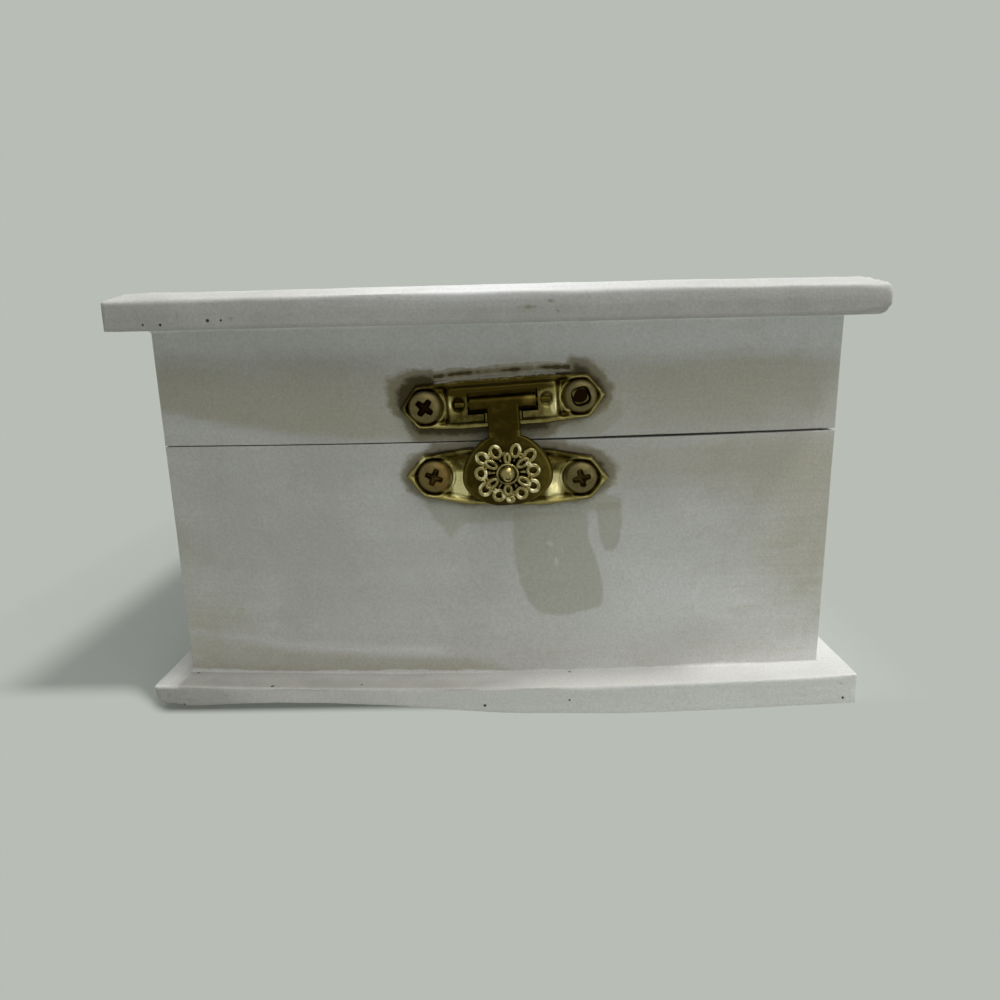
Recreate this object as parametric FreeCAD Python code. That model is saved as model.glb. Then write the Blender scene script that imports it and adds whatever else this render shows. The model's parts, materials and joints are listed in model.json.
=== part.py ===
# A small wooden box sawn level into body and lid, with two butt hinges behind and a brass hasp in front.
# Millimetres. +X is to the right, +Y to the back, +Z up; the origin is the centre of the base's underside.
import FreeCAD, Part
import math
import os

V = FreeCAD.Vector

# ---- Wooden walls ----
body_width = 96.0
body_depth = 76.0            # back face to the end edges of the bowed front
wall = 6.0
wall_bow = 2.1               # the front's middle stands this far before its ends
body_wall_height = 35.4
lid_wall_height = 15.6
saw_cut = 0.3

# ---- Base and lid boards ----
base_thickness = 4.5
base_arris = 0.5
lid_thickness = 5.0
bevel_width = 2.8
bevel_height = 1.2
overhang_side = 4.0
overhang_front = 5.0
overhang_back = 4.0
board_bow = 2.5

# ---- Hasp: its plates lie in a frame of u along the plate, v up the wall and w out from the wall ----
hasp_x = 0.8
hasp_above_cut = 5.2
hasp_tilt = 3.0              # degrees, right end up
catch_x = 1.3
catch_below_cut = 5.4
catch_tilt = -1.5
plate_length = 28.8
plate_shoulder = 11.9        # half length to the corners of the pointed ends
plate_end_half = 3.1
hasp_mid_half = 3.5
catch_mid_half = 4.1
plate_mid = 5.6              # half length of the wider middle
hasp_plate_floor = 0.8
catch_plate_floor = 0.7
rim_width = 0.7
rim_height = 0.35
bridge_half = 8.2
bridge_half_height = 2.9
bridge_slope = 0.8
bridge_front = 2.0
window_width = 9.6
window_height = 3.4
hasp_pin_radius = 0.45
hasp_pin_out = 1.25          # the pin's centre before the wall
hasp_pin_hold = 1.8          # each end held in the bridge
hasp_screw_half = 10.75
catch_screw_half = 10.35
nose_radius = 2.2
nose_crown = 1.3
nose_gap = 0.3

# ---- Hasp tongue, rosette and rivet ----
tongue_thickness = 0.6
knuckle_wall = 0.5
neck_width = 4.5
neck_length = 4.2            # each length of the tongue is measured down from the pin
flare_half = 4.3
flare_at = 6.1
shoulder_half = 5.8
shoulder_at = 8.1
bell_half = 6.35
bell_widest_at = 10.4
foot_half = 5.3
foot_at = 12.75
tongue_length = 14.5
flange_depth = 0.3
flange_width = 0.8
rosette_below_pin = 9.6
rosette_loops = 12
rosette_ring = 3.72          # radius of the ring of loops
loop_radius = 0.82
loop_hole = 0.36
loop_height = 0.9
rosette_web = 0.4
petals = 6
petal_ring = 1.95
petal_radius = 0.78
petal_height = 1.15
rivet_radius = 0.55
rivet_head_radius = 1.25
rivet_head_height = 1.3

# ---- Screws ----
hasp_head_radius = 2.35
hasp_head_height = 1.2
hasp_shank_radius = 0.95
hasp_shank_length = 7.0
hinge_head_radius = 1.3
hinge_head_height = 0.7
hinge_shank_radius = 0.7
hinge_shank_length = 4.8
cross_width = 0.55
cross_share = 0.52           # length of the cross over the head's diameter
rim_share = 0.35             # straight part of a head, below its slope and the cross's floor
crown_share = 0.62           # flat top of a head over its full radius
hasp_screw_turns = (-12, 15)
catch_screw_turns = (40, 8)
hinge_screw_turn = 20        # degrees from one hinge screw to the next

# ---- Hinges ----
hinge_from_side = 20.0       # hinge's middle from the end of the back wall
hinge_length = 16.0
hinge_knuckles = 3
leaf_height = 8.5
leaf_thickness = 0.8
knuckle_radius = 1.5
hinge_pin_radius = 0.65
hinge_pin_out = 1.8
hinge_screw_half = 4.8
hinge_screw_from_cut = 5.6

# ---- Clearances ----
running = 0.05               # radial, pin in knuckle
pilot = 0.02                 # radial, screw in its hole
side_play = 0.15             # between neighbouring knuckles and at the window's sides
swing_play = 0.25            # round what turns
past = 1.0                   # how far a cutting shape runs beyond what it cuts
small_sides = 12             # flats of a rod too small to need a true round

# ---- Places worked out from the sizes ----
board_width = body_width + 2 * overhang_side
board_back = (overhang_back + body_depth + overhang_front + board_bow) / 2
board_front = board_bow - board_back
body_back = board_back - overhang_back
body_front = body_back - body_depth
front_apex = body_front - wall_bow
cut_bottom = base_thickness + body_wall_height
cut_top = cut_bottom + saw_cut
cut_middle = (cut_bottom + cut_top) / 2
lid_board_bottom = cut_top + lid_wall_height
tongue_back = hasp_pin_out + hasp_pin_radius + running + knuckle_wall - tongue_thickness
tongue_front = tongue_back + tongue_thickness


def on_front(shape, x, z, tilt):
    """Take a shape from the hasp's frame (u = X, v = Z, w = -Y) to its place on the front wall."""
    placed = shape.copy()
    placed.rotate(V(0, 0, 0), V(0, -1, 0), tilt)
    placed.translate(V(x, front_apex, z))
    return placed


def on_hasp(shape):
    return on_front(shape, hasp_x, cut_middle + hasp_above_cut, hasp_tilt)


def on_catch(shape):
    return on_front(shape, catch_x, cut_middle - catch_below_cut, catch_tilt)


def prism(points, w_low, w_high):
    """Extrude a closed (u, v) polygon from w_low to w_high."""
    corners = [V(u, -w_low, v) for u, v in points]
    face = Part.Face(Part.makePolygon(corners + corners[:1]))
    return face.extrude(V(0, w_low - w_high, 0))


def block(u_low, u_high, v_low, v_high, w_low, w_high):
    return prism([(u_low, v_low), (u_high, v_low), (u_high, v_high), (u_low, v_high)], w_low, w_high)


def ring_of(count, radius, offset):
    """Places evenly round a circle, the first turned by offset steps."""
    angles = [2 * math.pi * (k + offset) / count for k in range(count)]
    return [(radius * math.cos(a), radius * math.sin(a)) for a in angles]


def small_rod(radius, u, v, w_low, w_high):
    """A rod about a millimetre thick along w, with small_sides flats instead of a true round."""
    return prism([(u + du, v + dv) for du, dv in ring_of(small_sides, radius, 0)], w_low, w_high)


def rod_out(radius, u, v, w_low, w_high):
    return Part.makeCylinder(radius, w_high - w_low, V(u, -w_low, v), V(0, -1, 0))


def rod_along(radius, u_low, u_high, v, w):
    return Part.makeCylinder(radius, u_high - u_low, V(u_low, -w, v), V(1, 0, 0))


def join(shapes):
    return shapes[0].multiFuse(shapes[1:]).removeSplitter()


# ---- Boards and walls ----

def bowed_wire(half_width, y_back, y_ends, bow, z):
    """Plan outline with straight back and sides and an arc for its front."""
    left_back = V(-half_width, y_back, z)
    right_back = V(half_width, y_back, z)
    left_front = V(-half_width, y_ends, z)
    right_front = V(half_width, y_ends, z)
    front = Part.Arc(right_front, V(0, y_ends - bow, z), left_front).toShape()
    back = Part.makeLine(left_back, right_back)
    right = Part.makeLine(right_back, right_front)
    left = Part.makeLine(left_front, left_back)
    return Part.Wire([back, right, front, left])


def board_wire(inset, z):
    return bowed_wire(board_width / 2 - inset, board_back - inset, board_front + inset, board_bow, z)


def board(z_bottom, thickness, top_inset, top_drop):
    """A board whose top edge is bevelled by top_inset across and top_drop down."""
    z_top = z_bottom + thickness
    slab = Part.Face(board_wire(0, z_bottom)).extrude(V(0, 0, thickness - top_drop))
    bevel = Part.makeLoft([board_wire(0, z_top - top_drop), board_wire(top_inset, z_top)], True, True)
    return join([slab, bevel])


def front_wall(z_bottom, height):
    outline = bowed_wire(body_width / 2, body_front + wall, body_front, wall_bow, z_bottom)
    return Part.Face(outline).extrude(V(0, 0, height))


def back_wall(z_bottom, height):
    return Part.makeBox(body_width, wall, height, V(-body_width / 2, body_back - wall, z_bottom))


def side_wall(side, z_bottom, height):
    x = side * (body_width - wall) / 2 - wall / 2
    return Part.makeBox(wall, body_depth - 2 * wall, height, V(x, body_front + wall, z_bottom))


# ---- Screws ----

def turned(profile):
    """Turn a closed (radius, w) profile round the w axis."""
    corners = [V(radius, -w, 0) for radius, w in profile]
    face = Part.Face(Part.makePolygon(corners + corners[:1]))
    return face.revolve(V(0, 0, 0), V(0, 1, 0), 360)


def screw(head_radius, head_height, shank_radius, shank_length, turn):
    """Pan-head cross screw along -w, its head seated at w = 0 and its cross turned by turn degrees."""
    rim = head_height * rim_share
    crown = head_radius * crown_share
    head = turned([(0, head_height), (crown, head_height), (head_radius, rim), (head_radius, 0), (0, 0)])
    reach = head_radius * cross_share
    slot = block(-reach, reach, -cross_width / 2, cross_width / 2, rim, head_height + past)
    cross = slot.fuse(slot.rotated(V(0, 0, 0), V(0, 1, 0), 90)).rotated(V(0, 0, 0), V(0, 1, 0), turn)
    return join([head.cut(cross), small_rod(shank_radius, 0, 0, -shank_length, 0)])


def pilot_hole(shank_radius, shank_length, u, v, seat):
    return small_rod(shank_radius + pilot, u, v, seat - shank_length - pilot, seat + past)


def hasp_screw_pair(place, half, seat, turns):
    pieces = []
    for u, turn in zip((-half, half), turns):
        piece = screw(hasp_head_radius, hasp_head_height, hasp_shank_radius, hasp_shank_length, turn)
        piece.translate(V(u, -seat, 0))
        pieces.append(place(piece))
    return Part.makeCompound(pieces)


# ---- Hasp plates ----

def pointed_outline(mid_half, inset):
    """Long plate outline: pointed ends, corners at the shoulders and a wider middle."""
    tip = plate_length / 2 - 1.4 * inset
    shoulder = plate_shoulder - 0.5 * inset
    quarter = [(tip, 0), (shoulder, plate_end_half - inset), (plate_mid, mid_half - inset)]
    upper = quarter + [(-u, v) for u, v in reversed(quarter)]
    lower = [(u, -v) for u, v in reversed(upper[1:-1])]
    return upper + lower


def rimmed_plate(mid_half, floor):
    plate = prism(pointed_outline(mid_half, 0), 0, floor + rim_height)
    return plate.cut(prism(pointed_outline(mid_half, rim_width), floor, floor + rim_height + past))


def drill_plate(plate, half, floor):
    """Cut the two screw holes, and seats for the heads where they cross the rim."""
    for side in (-1, 1):
        plate = plate.cut(pilot_hole(hasp_shank_radius, hasp_shank_length, side * half, 0, floor))
        seat = rod_out(hasp_head_radius + side_play, side * half, 0, floor, bridge_front + past)
        plate = plate.cut(seat)
    return plate


def hasp_plate():
    floor = hasp_plate_floor
    top = bridge_half - bridge_slope
    profile = [(-bridge_half, 0), (-top, bridge_front), (top, bridge_front), (bridge_half, 0)]
    corners = [V(u, -w, 0) for u, w in profile]
    hat = Part.Face(Part.makePolygon(corners + corners[:1])).extrude(V(0, 0, 2 * bridge_half_height))
    hat.translate(V(0, 0, -bridge_half_height))
    plate = join([rimmed_plate(hasp_mid_half, floor), hat])
    window_half = window_width / 2
    window_rise = window_height / 2
    window = block(-window_half, window_half, -window_rise, window_rise, -past, bridge_front + past)
    notch_half = neck_width / 2 + 2 * side_play
    notch_floor = tongue_back - swing_play
    notch = block(-notch_half, notch_half, -hasp_mid_half - past, 0, notch_floor, bridge_front + past)
    held = window_half + hasp_pin_hold + side_play
    bore = rod_along(hasp_pin_radius + pilot, -held, held, 0, hasp_pin_out)
    return drill_plate(plate.cut(join([window, notch])).cut(bore), hasp_screw_half, floor)


def hasp_pin():
    held = window_width / 2 + hasp_pin_hold
    return rod_along(hasp_pin_radius, -held, held, 0, hasp_pin_out)


def catch_plate():
    """Lower plate, with the rounded nose that the tongue's hollow drops over."""
    nose_top = tongue_back - nose_gap
    nose = turned([(0, 0), (nose_radius, 0), (nose_crown, nose_top), (0, nose_top)])
    plate = join([rimmed_plate(catch_mid_half, catch_plate_floor), nose])
    return drill_plate(plate, catch_screw_half, catch_plate_floor)


# ---- Hasp tongue ----

def bell_face(inset, w):
    """Outline of the bell below the neck: arcs through its flare, widest place and foot, closed at the neck."""
    side = [(neck_width / 2, neck_length), (flare_half, flare_at), (shoulder_half, shoulder_at)]
    side += [(bell_half, bell_widest_at), (foot_half, foot_at)]
    around = [(-u, s) for u, s in side] + [(0, tongue_length)] + side[::-1]
    shrink = 1 - inset / bell_half
    middle = (neck_length + tongue_length) / 2
    points = [V(u * shrink, -w, -(middle + (s - middle) * shrink)) for u, s in around]
    arcs = [Part.Arc(*points[k:k + 3]).toShape() for k in range(0, len(points) - 2, 2)]
    return Part.Face(Part.Wire(arcs + [Part.makeLine(points[-1], points[0])]))


def hasp_tongue():
    """Rolled knuckle, strap and dished bell in one stamping."""
    bell = bell_face(0, tongue_back - flange_depth).extrude(V(0, -tongue_thickness - flange_depth, 0))
    hollow = bell_face(flange_width, tongue_back - flange_depth - past).extrude(V(0, -flange_depth - past, 0))
    strap = block(-neck_width / 2, neck_width / 2, -neck_length, 0, tongue_back, tongue_front)
    knuckle_out = hasp_pin_radius + running + knuckle_wall
    half = window_width / 2 - side_play
    knuckle = rod_along(knuckle_out, -half, half, 0, hasp_pin_out)
    bore = rod_along(hasp_pin_radius + running, -half - past, half + past, 0, hasp_pin_out)
    rivet_hole = small_rod(rivet_radius + pilot, 0, -rosette_below_pin, 0, tongue_front + past)
    return join([bell.cut(hollow), strap, knuckle]).cut(bore).cut(rivet_hole)


def rosette():
    """Round openwork flower: a ring of small pierced loops, an inner ring of petals and a thin web behind."""
    base = tongue_front
    solids = [rod_out(rosette_ring, 0, 0, base, base + rosette_web)]
    holes = [small_rod(rivet_radius + pilot, 0, 0, base - past, base + petal_height + past)]
    for u, v in ring_of(rosette_loops, rosette_ring, 0.5):
        solids.append(small_rod(loop_radius, u, v, base, base + loop_height))
        holes.append(small_rod(loop_hole, u, v, base - past, base + loop_height + past))
    for u, v in ring_of(petals, petal_ring, 0):
        solids.append(small_rod(petal_radius, u, v, base, base + petal_height))
    flower = join(solids).cut(Part.makeCompound(holes))
    flower.translate(V(0, 0, -rosette_below_pin))
    return flower


def rosette_rivet():
    """Rivet through tongue and rosette, with a domed head."""
    seat = tongue_front + petal_height
    crown = seat + rivet_head_height
    belly = seat + rivet_head_height * rim_share
    head = turned([(0, seat), (rivet_head_radius, seat), (rivet_head_radius, belly),
                   (rivet_head_radius * crown_share, crown), (0, crown)])
    rivet = join([head, small_rod(rivet_radius, 0, 0, tongue_back, seat)])
    rivet.translate(V(0, 0, -rosette_below_pin))
    return rivet


# ---- Hinges: the same frame turned to the back wall (u = -X, v = Z, w = +Y) ----

def on_back(shape, side):
    placed = shape.copy()
    placed.rotate(V(0, 0, 0), V(0, 0, 1), 180)
    placed.translate(V(side * (body_width / 2 - hinge_from_side), body_back, cut_middle))
    return placed


def knuckle_span(k):
    step = hinge_length / hinge_knuckles
    low = -hinge_length / 2 + k * step
    return low + side_play / 2, low + step - side_play / 2


def hinge_leaf(up):
    """One leaf with its rolled knuckles: the even ones below the cut, the odd ones above it."""
    edge = saw_cut / 2
    low, high = sorted((up * edge, up * leaf_height))
    leaf = block(-hinge_length / 2, hinge_length / 2, low, high, 0, leaf_thickness)
    reach = knuckle_radius + swing_play
    notch_height = math.sqrt(reach ** 2 - (hinge_pin_out - leaf_thickness) ** 2)
    for k in range(hinge_knuckles):
        u_low, u_high = knuckle_span(k)
        if (k % 2 == 1) == (up > 0):
            leaf = leaf.fuse(rod_along(knuckle_radius, u_low, u_high, 0, hinge_pin_out))
        else:
            u_low -= side_play
            u_high += side_play
            leaf = leaf.cut(block(u_low, u_high, -notch_height, notch_height, -past, leaf_thickness + past))
    bore_half = hinge_length / 2 + past
    leaf = leaf.cut(rod_along(hinge_pin_radius + running, -bore_half, bore_half, 0, hinge_pin_out))
    for u in (-hinge_screw_half, hinge_screw_half):
        v = up * hinge_screw_from_cut
        leaf = leaf.cut(pilot_hole(hinge_shank_radius, hinge_shank_length, u, v, leaf_thickness))
    return leaf.removeSplitter()


def hinge_pin():
    return rod_along(hinge_pin_radius, -hinge_length / 2, hinge_length / 2, 0, hinge_pin_out)


def hinge_screws(up):
    pieces = []
    for side in (-1, 1):
        for u in (-hinge_screw_half, hinge_screw_half):
            turn = len(pieces) * hinge_screw_turn
            piece = screw(hinge_head_radius, hinge_head_height, hinge_shank_radius, hinge_shank_length, turn)
            piece.translate(V(u, -leaf_thickness, up * hinge_screw_from_cut))
            pieces.append(on_back(piece, side))
    return Part.makeCompound(pieces)


def drill_back(back, up):
    for side in (-1, 1):
        for u in (-hinge_screw_half, hinge_screw_half):
            v = up * hinge_screw_from_cut
            hole = pilot_hole(hinge_shank_radius, hinge_shank_length, u, v, leaf_thickness)
            back = back.cut(on_back(hole, side))
    return back


def drill_front(front, place, half, seat):
    for side in (-1, 1):
        hole = pilot_hole(hasp_shank_radius, hasp_shank_length, side * half, 0, seat)
        front = front.cut(place(hole))
    return front


# ---- Nodes ----

def wooden_nodes():
    body_z = base_thickness
    body_h = body_wall_height
    lid_h = lid_wall_height
    lower_front = drill_front(front_wall(body_z, body_h), on_catch, catch_screw_half, catch_plate_floor)
    upper_front = drill_front(front_wall(cut_top, lid_h), on_hasp, hasp_screw_half, hasp_plate_floor)
    return {
        "base_board": board(0, base_thickness, base_arris, base_arris),
        "front_wall": lower_front,
        "back_wall": drill_back(back_wall(body_z, body_h), -1),
        "left_wall": side_wall(-1, body_z, body_h),
        "right_wall": side_wall(1, body_z, body_h),
        "lid_board": board(lid_board_bottom, lid_thickness, bevel_width, bevel_height),
        "lid_front_wall": upper_front,
        "lid_back_wall": drill_back(back_wall(cut_top, lid_h), 1),
        "lid_left_wall": side_wall(-1, cut_top, lid_h),
        "lid_right_wall": side_wall(1, cut_top, lid_h),
    }


def hasp_nodes():
    return {
        "hasp_plate": on_hasp(hasp_plate()),
        "hasp_pin": on_hasp(hasp_pin()),
        "hasp_screws": hasp_screw_pair(on_hasp, hasp_screw_half, hasp_plate_floor, hasp_screw_turns),
        "catch_plate": on_catch(catch_plate()),
        "catch_screws": hasp_screw_pair(on_catch, catch_screw_half, catch_plate_floor, catch_screw_turns),
        "hasp_tongue": on_hasp(hasp_tongue()),
        "rosette": on_hasp(rosette()),
        "rosette_rivet": on_hasp(rosette_rivet()),
    }


def hinge_nodes():
    nodes = {"hinge_lower_screws": hinge_screws(-1), "hinge_upper_screws": hinge_screws(1)}
    for name, side in (("left", -1), ("right", 1)):
        nodes["hinge_%s_lower_leaf" % name] = on_back(hinge_leaf(-1), side)
        nodes["hinge_%s_upper_leaf" % name] = on_back(hinge_leaf(1), side)
        nodes["hinge_%s_pin" % name] = on_back(hinge_pin(), side)
    return nodes


os.makedirs("parts", exist_ok=True)
for group in (wooden_nodes(), hasp_nodes(), hinge_nodes()):
    for name, shape in group.items():
        shape.exportStep("parts/%s.step" % name)
        print(name, "valid" if shape.isValid() else "NOT VALID", len(shape.Solids), round(shape.Volume, 2))
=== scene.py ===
import json
import math

import bmesh
import bpy
import numpy as np
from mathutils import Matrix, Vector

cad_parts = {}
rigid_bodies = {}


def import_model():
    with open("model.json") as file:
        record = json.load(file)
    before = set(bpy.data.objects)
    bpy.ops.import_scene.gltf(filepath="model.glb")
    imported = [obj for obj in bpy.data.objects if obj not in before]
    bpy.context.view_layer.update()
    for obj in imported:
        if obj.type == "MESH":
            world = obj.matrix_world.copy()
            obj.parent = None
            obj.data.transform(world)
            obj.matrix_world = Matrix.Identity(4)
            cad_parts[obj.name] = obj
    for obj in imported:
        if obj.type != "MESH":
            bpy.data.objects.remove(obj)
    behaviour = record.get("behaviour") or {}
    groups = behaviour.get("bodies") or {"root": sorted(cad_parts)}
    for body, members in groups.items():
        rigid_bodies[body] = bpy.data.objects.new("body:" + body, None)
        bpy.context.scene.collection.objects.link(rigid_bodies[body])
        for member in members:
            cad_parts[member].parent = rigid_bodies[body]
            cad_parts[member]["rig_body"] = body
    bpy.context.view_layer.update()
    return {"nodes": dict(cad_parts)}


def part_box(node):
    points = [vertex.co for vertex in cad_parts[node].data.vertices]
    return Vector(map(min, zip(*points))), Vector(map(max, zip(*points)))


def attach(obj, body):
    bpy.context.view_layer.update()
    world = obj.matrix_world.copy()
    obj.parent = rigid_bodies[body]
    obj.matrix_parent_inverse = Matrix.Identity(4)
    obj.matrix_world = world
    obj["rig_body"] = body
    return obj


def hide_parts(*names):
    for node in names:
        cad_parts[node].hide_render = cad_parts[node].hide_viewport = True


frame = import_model()
print("frame loaded:", len(frame["nodes"]), "nodes")

# Sizes below are in millimetres, and a mesh is made in metres.
mm = 0.001

# Places on the box that more than one piece needs.
box = {
    "halfWidth": 48.0,       # half width over the walls
    "boardHalf": 52.0,       # half width of the base and lid boards
    "frontApex": -38.35,     # middle of the bowed front wall
    "wallBow": 2.1,
    "boardApex": -43.75,
    "boardBow": 2.5,
    "innerFront": -30.25,
    "innerBack": 33.75,
    "innerSide": 42.0,
    "back": 39.75,
    "baseTop": 4.5,
    "seam": 40.05,
    "lidUnder": 55.8,
}
# The bowed fronts: apex, bow and half width.
wallFront = (box["frontApex"], box["wallBow"], box["halfWidth"])
boardFront = (box["boardApex"], box["boardBow"], box["boardHalf"])

# Values that a material's stain, smear or wear has far away from it, and "inside" where paint covers all.
farOff = -4.0
allPainted = -3.0


def smooth(low, high, x):
    # cubic step: 0 below low, 1 above high
    t = np.clip((x - low) / (high - low), 0, 1)
    return t * t * (3 - 2 * t)


def wobble(points, size, seed, waves=9):
    # soft random field from -1 to 1: a sum of sines with random directions, wavelengths near size
    rng = np.random.default_rng(seed)
    directions = rng.normal(size=(waves, 3))
    directions /= np.linalg.norm(directions, axis=1, keepdims=True)
    rates = 2 * math.pi / (size * rng.uniform(0.6, 1.6, waves))
    phases = rng.uniform(0, 2 * math.pi, waves)
    return np.sin(points @ (directions * rates[:, None]).T + phases).sum(1) / math.sqrt(waves) * 0.8


def bowed(x, apex, bow, half):
    # circular arc through the apex at x = 0 and through apex + bow at x = half
    radius = (half * half + bow * bow) / (2 * bow)
    return apex + radius - np.sqrt(radius * radius - np.clip(x, -half, half) ** 2)


def boxOf(node):
    low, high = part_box(node)
    return np.array(low) / mm, np.array(high) / mm


def gridFaces(rows, columns, start=0, wrapRows=False, wrapColumns=False):
    # quads between neighbouring rows and columns of points numbered row by row
    r = np.arange(rows if wrapRows else rows - 1)[:, None]
    c = np.arange(columns if wrapColumns else columns - 1)[None, :]
    r, c = np.broadcast_arrays(r, c)
    nextR, nextC = (r + 1) % rows, (c + 1) % columns
    corners = [r * columns + c, nextR * columns + c, nextR * columns + nextC, r * columns + nextC]
    return np.stack(corners, -1).reshape(-1, 4) + start


def addObject(name, data):
    made = bpy.data.objects.new(name, data)
    bpy.context.scene.collection.objects.link(made)
    return made


def newPiece(name, points, faces, sharpAngle=50, outward=True):
    # points in millimetres; doubles are merged and faces turned outwards
    mesh = bpy.data.meshes.new(name)
    mesh.from_pydata((np.asarray(points) * mm).tolist(), [], np.asarray(faces).tolist())
    work = bmesh.new()
    work.from_mesh(mesh)
    bmesh.ops.remove_doubles(work, verts=work.verts, dist=2e-6)
    bmesh.ops.dissolve_degenerate(work, edges=work.edges, dist=1e-7)
    if outward:
        bmesh.ops.recalc_face_normals(work, faces=work.faces)
    work.to_mesh(mesh)
    work.free()
    mesh.shade_smooth()
    mesh.set_sharp_from_angle(angle=math.radians(sharpAngle))
    return addObject(name, mesh)


def meshPoints(piece):
    co = np.empty(len(piece.data.vertices) * 3)
    piece.data.vertices.foreach_get("co", co)
    return co.reshape(-1, 3) / mm


def paintValue(piece, name, values):
    # one number for each point, or the same for all, read by the materials
    layer = piece.data.attributes.new(name, "FLOAT", "POINT")
    values = np.broadcast_to(values, len(piece.data.vertices))
    layer.data.foreach_set("value", np.ascontiguousarray(values, np.float32))


def relief(top, bottom):
    # closed pillow: the rows of top, each carried back along bottom, with both end rows capped
    rows, columns = top.shape[:2]
    ring = np.concatenate([top, bottom[:, ::-1]], 1)
    faces = gridFaces(rows, 2 * columns, wrapColumns=True)
    c = np.arange(columns - 1)
    firstCap = np.stack([c, c + 1, 2 * columns - 2 - c, 2 * columns - 1 - c], -1)
    lastCap = firstCap[:, ::-1] + (rows - 1) * 2 * columns
    return ring.reshape(-1, 3), np.concatenate([faces, firstCap, lastCap])


def slab(u, v, top, bottom):
    # closed relief over one grid of places, between the heights top and bottom
    return relief(*(np.stack(np.broadcast_arrays(u, v, height), -1) for height in (top, bottom)))


def joined(shells):
    # several shells (points, faces) as one list of points and faces
    points, faces, start = [], [], 0
    for p, f in shells:
        points.append(p)
        faces.append(f + start)
        start += len(p)
    return np.concatenate(points), np.concatenate(faces)


def axisSteps(low, high, step, edge):
    # places along one axis: close ones across each rounded edge, even steps between them
    near = edge * np.array([0, 0.22, 0.45, 0.7])
    middle = np.linspace(low + edge, high - edge, max(2, int(round((high - low - 2 * edge) / step)) + 1))
    return np.concatenate([low + near, middle, high - near[::-1]])


def boxLattice(xs, ys, zs):
    # the six face grids of a lattice box, welded by their lattice numbers
    steps = (xs, ys, zs)
    counts = [len(s) for s in steps]
    quads = []
    for axis, a, b in ((0, 1, 2), (1, 2, 0), (2, 0, 1)):
        i, j = np.meshgrid(np.arange(counts[a]), np.arange(counts[b]), indexing="ij")
        for end in (0, counts[axis] - 1):
            place = [None, None, None]
            place[axis], place[a], place[b] = np.full_like(i, end), i, j
            key = (place[0] * counts[1] + place[1]) * counts[2] + place[2]
            quad = np.stack([key[:-1, :-1], key[1:, :-1], key[1:, 1:], key[:-1, 1:]], -1).reshape(-1, 4)
            quads.append(quad if end else quad[:, ::-1])
    quads = np.concatenate(quads)
    keys, numbers = np.unique(quads.ravel(), return_inverse=True)
    x = xs[keys // (counts[1] * counts[2])]
    y = ys[(keys // counts[2]) % counts[1]]
    z = zs[keys % counts[2]]
    return np.stack([x, y, z], -1), numbers.reshape(-1, 4)


wood = {
    "step": 0.9,             # size of a mesh cell
    "arris": 0.34,           # rounding of the boards' edges
    "wallEdge": 0.13,        # rounding of the walls' edges, small because paint fills the joints
    "edgeWander": 0.4,       # share by which the rounding varies along an edge
    "wave": 0.045,           # depth of the hollows left by hand sanding and thick paint
    "bevelWidth": 2.8,
    "bevelHeight": 1.06,
    # the base's lower front edge is sanded off the table: places along x, and its height there
    "liftedAt": [-52, -46, -40, -33, -25, -17, -8, 0, 9, 17, 52],
    "lifted": [1.25, 1.4, 1.75, 2.15, 2.15, 1.9, 1.15, 0.48, 0.3, 0.0, 0.0],
    "wornCorner": 1.4,       # rounding of the base's left front corner
    "lidEndUnder": 1.25,     # and of the lid's right end, under and over it
    "lidEndOver": 0.8,
    "wallWave": 0.7,         # share of the hollows' depth on the walls
    "sawnWander": 0.02,      # how far the sawn edges wander
    "filledCut": 0.07,       # how far paint closes the cut from each side
    "bareFrom": 2.6,         # bare wood starts so far out from the inner faces, and at the front
    "bareFromFront": 3.4,
    # the saw cut dips towards the left of the front: places along x, and how far it dips there
    "dipAt": [-48, -20, 19, 39, 45],
    "dip": [0.49, 0.42, 0.2, 0.06, 0.0],
}


def roundEdges(points, low, high, radius):
    # pull each point into the box shrunk by the radius, then push it straight out again by the radius
    inner = np.clip(points, low + radius[:, None], high - radius[:, None])
    out = points - inner
    return inner, out / np.maximum(np.linalg.norm(out, axis=1, keepdims=True), 1e-9)


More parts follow.
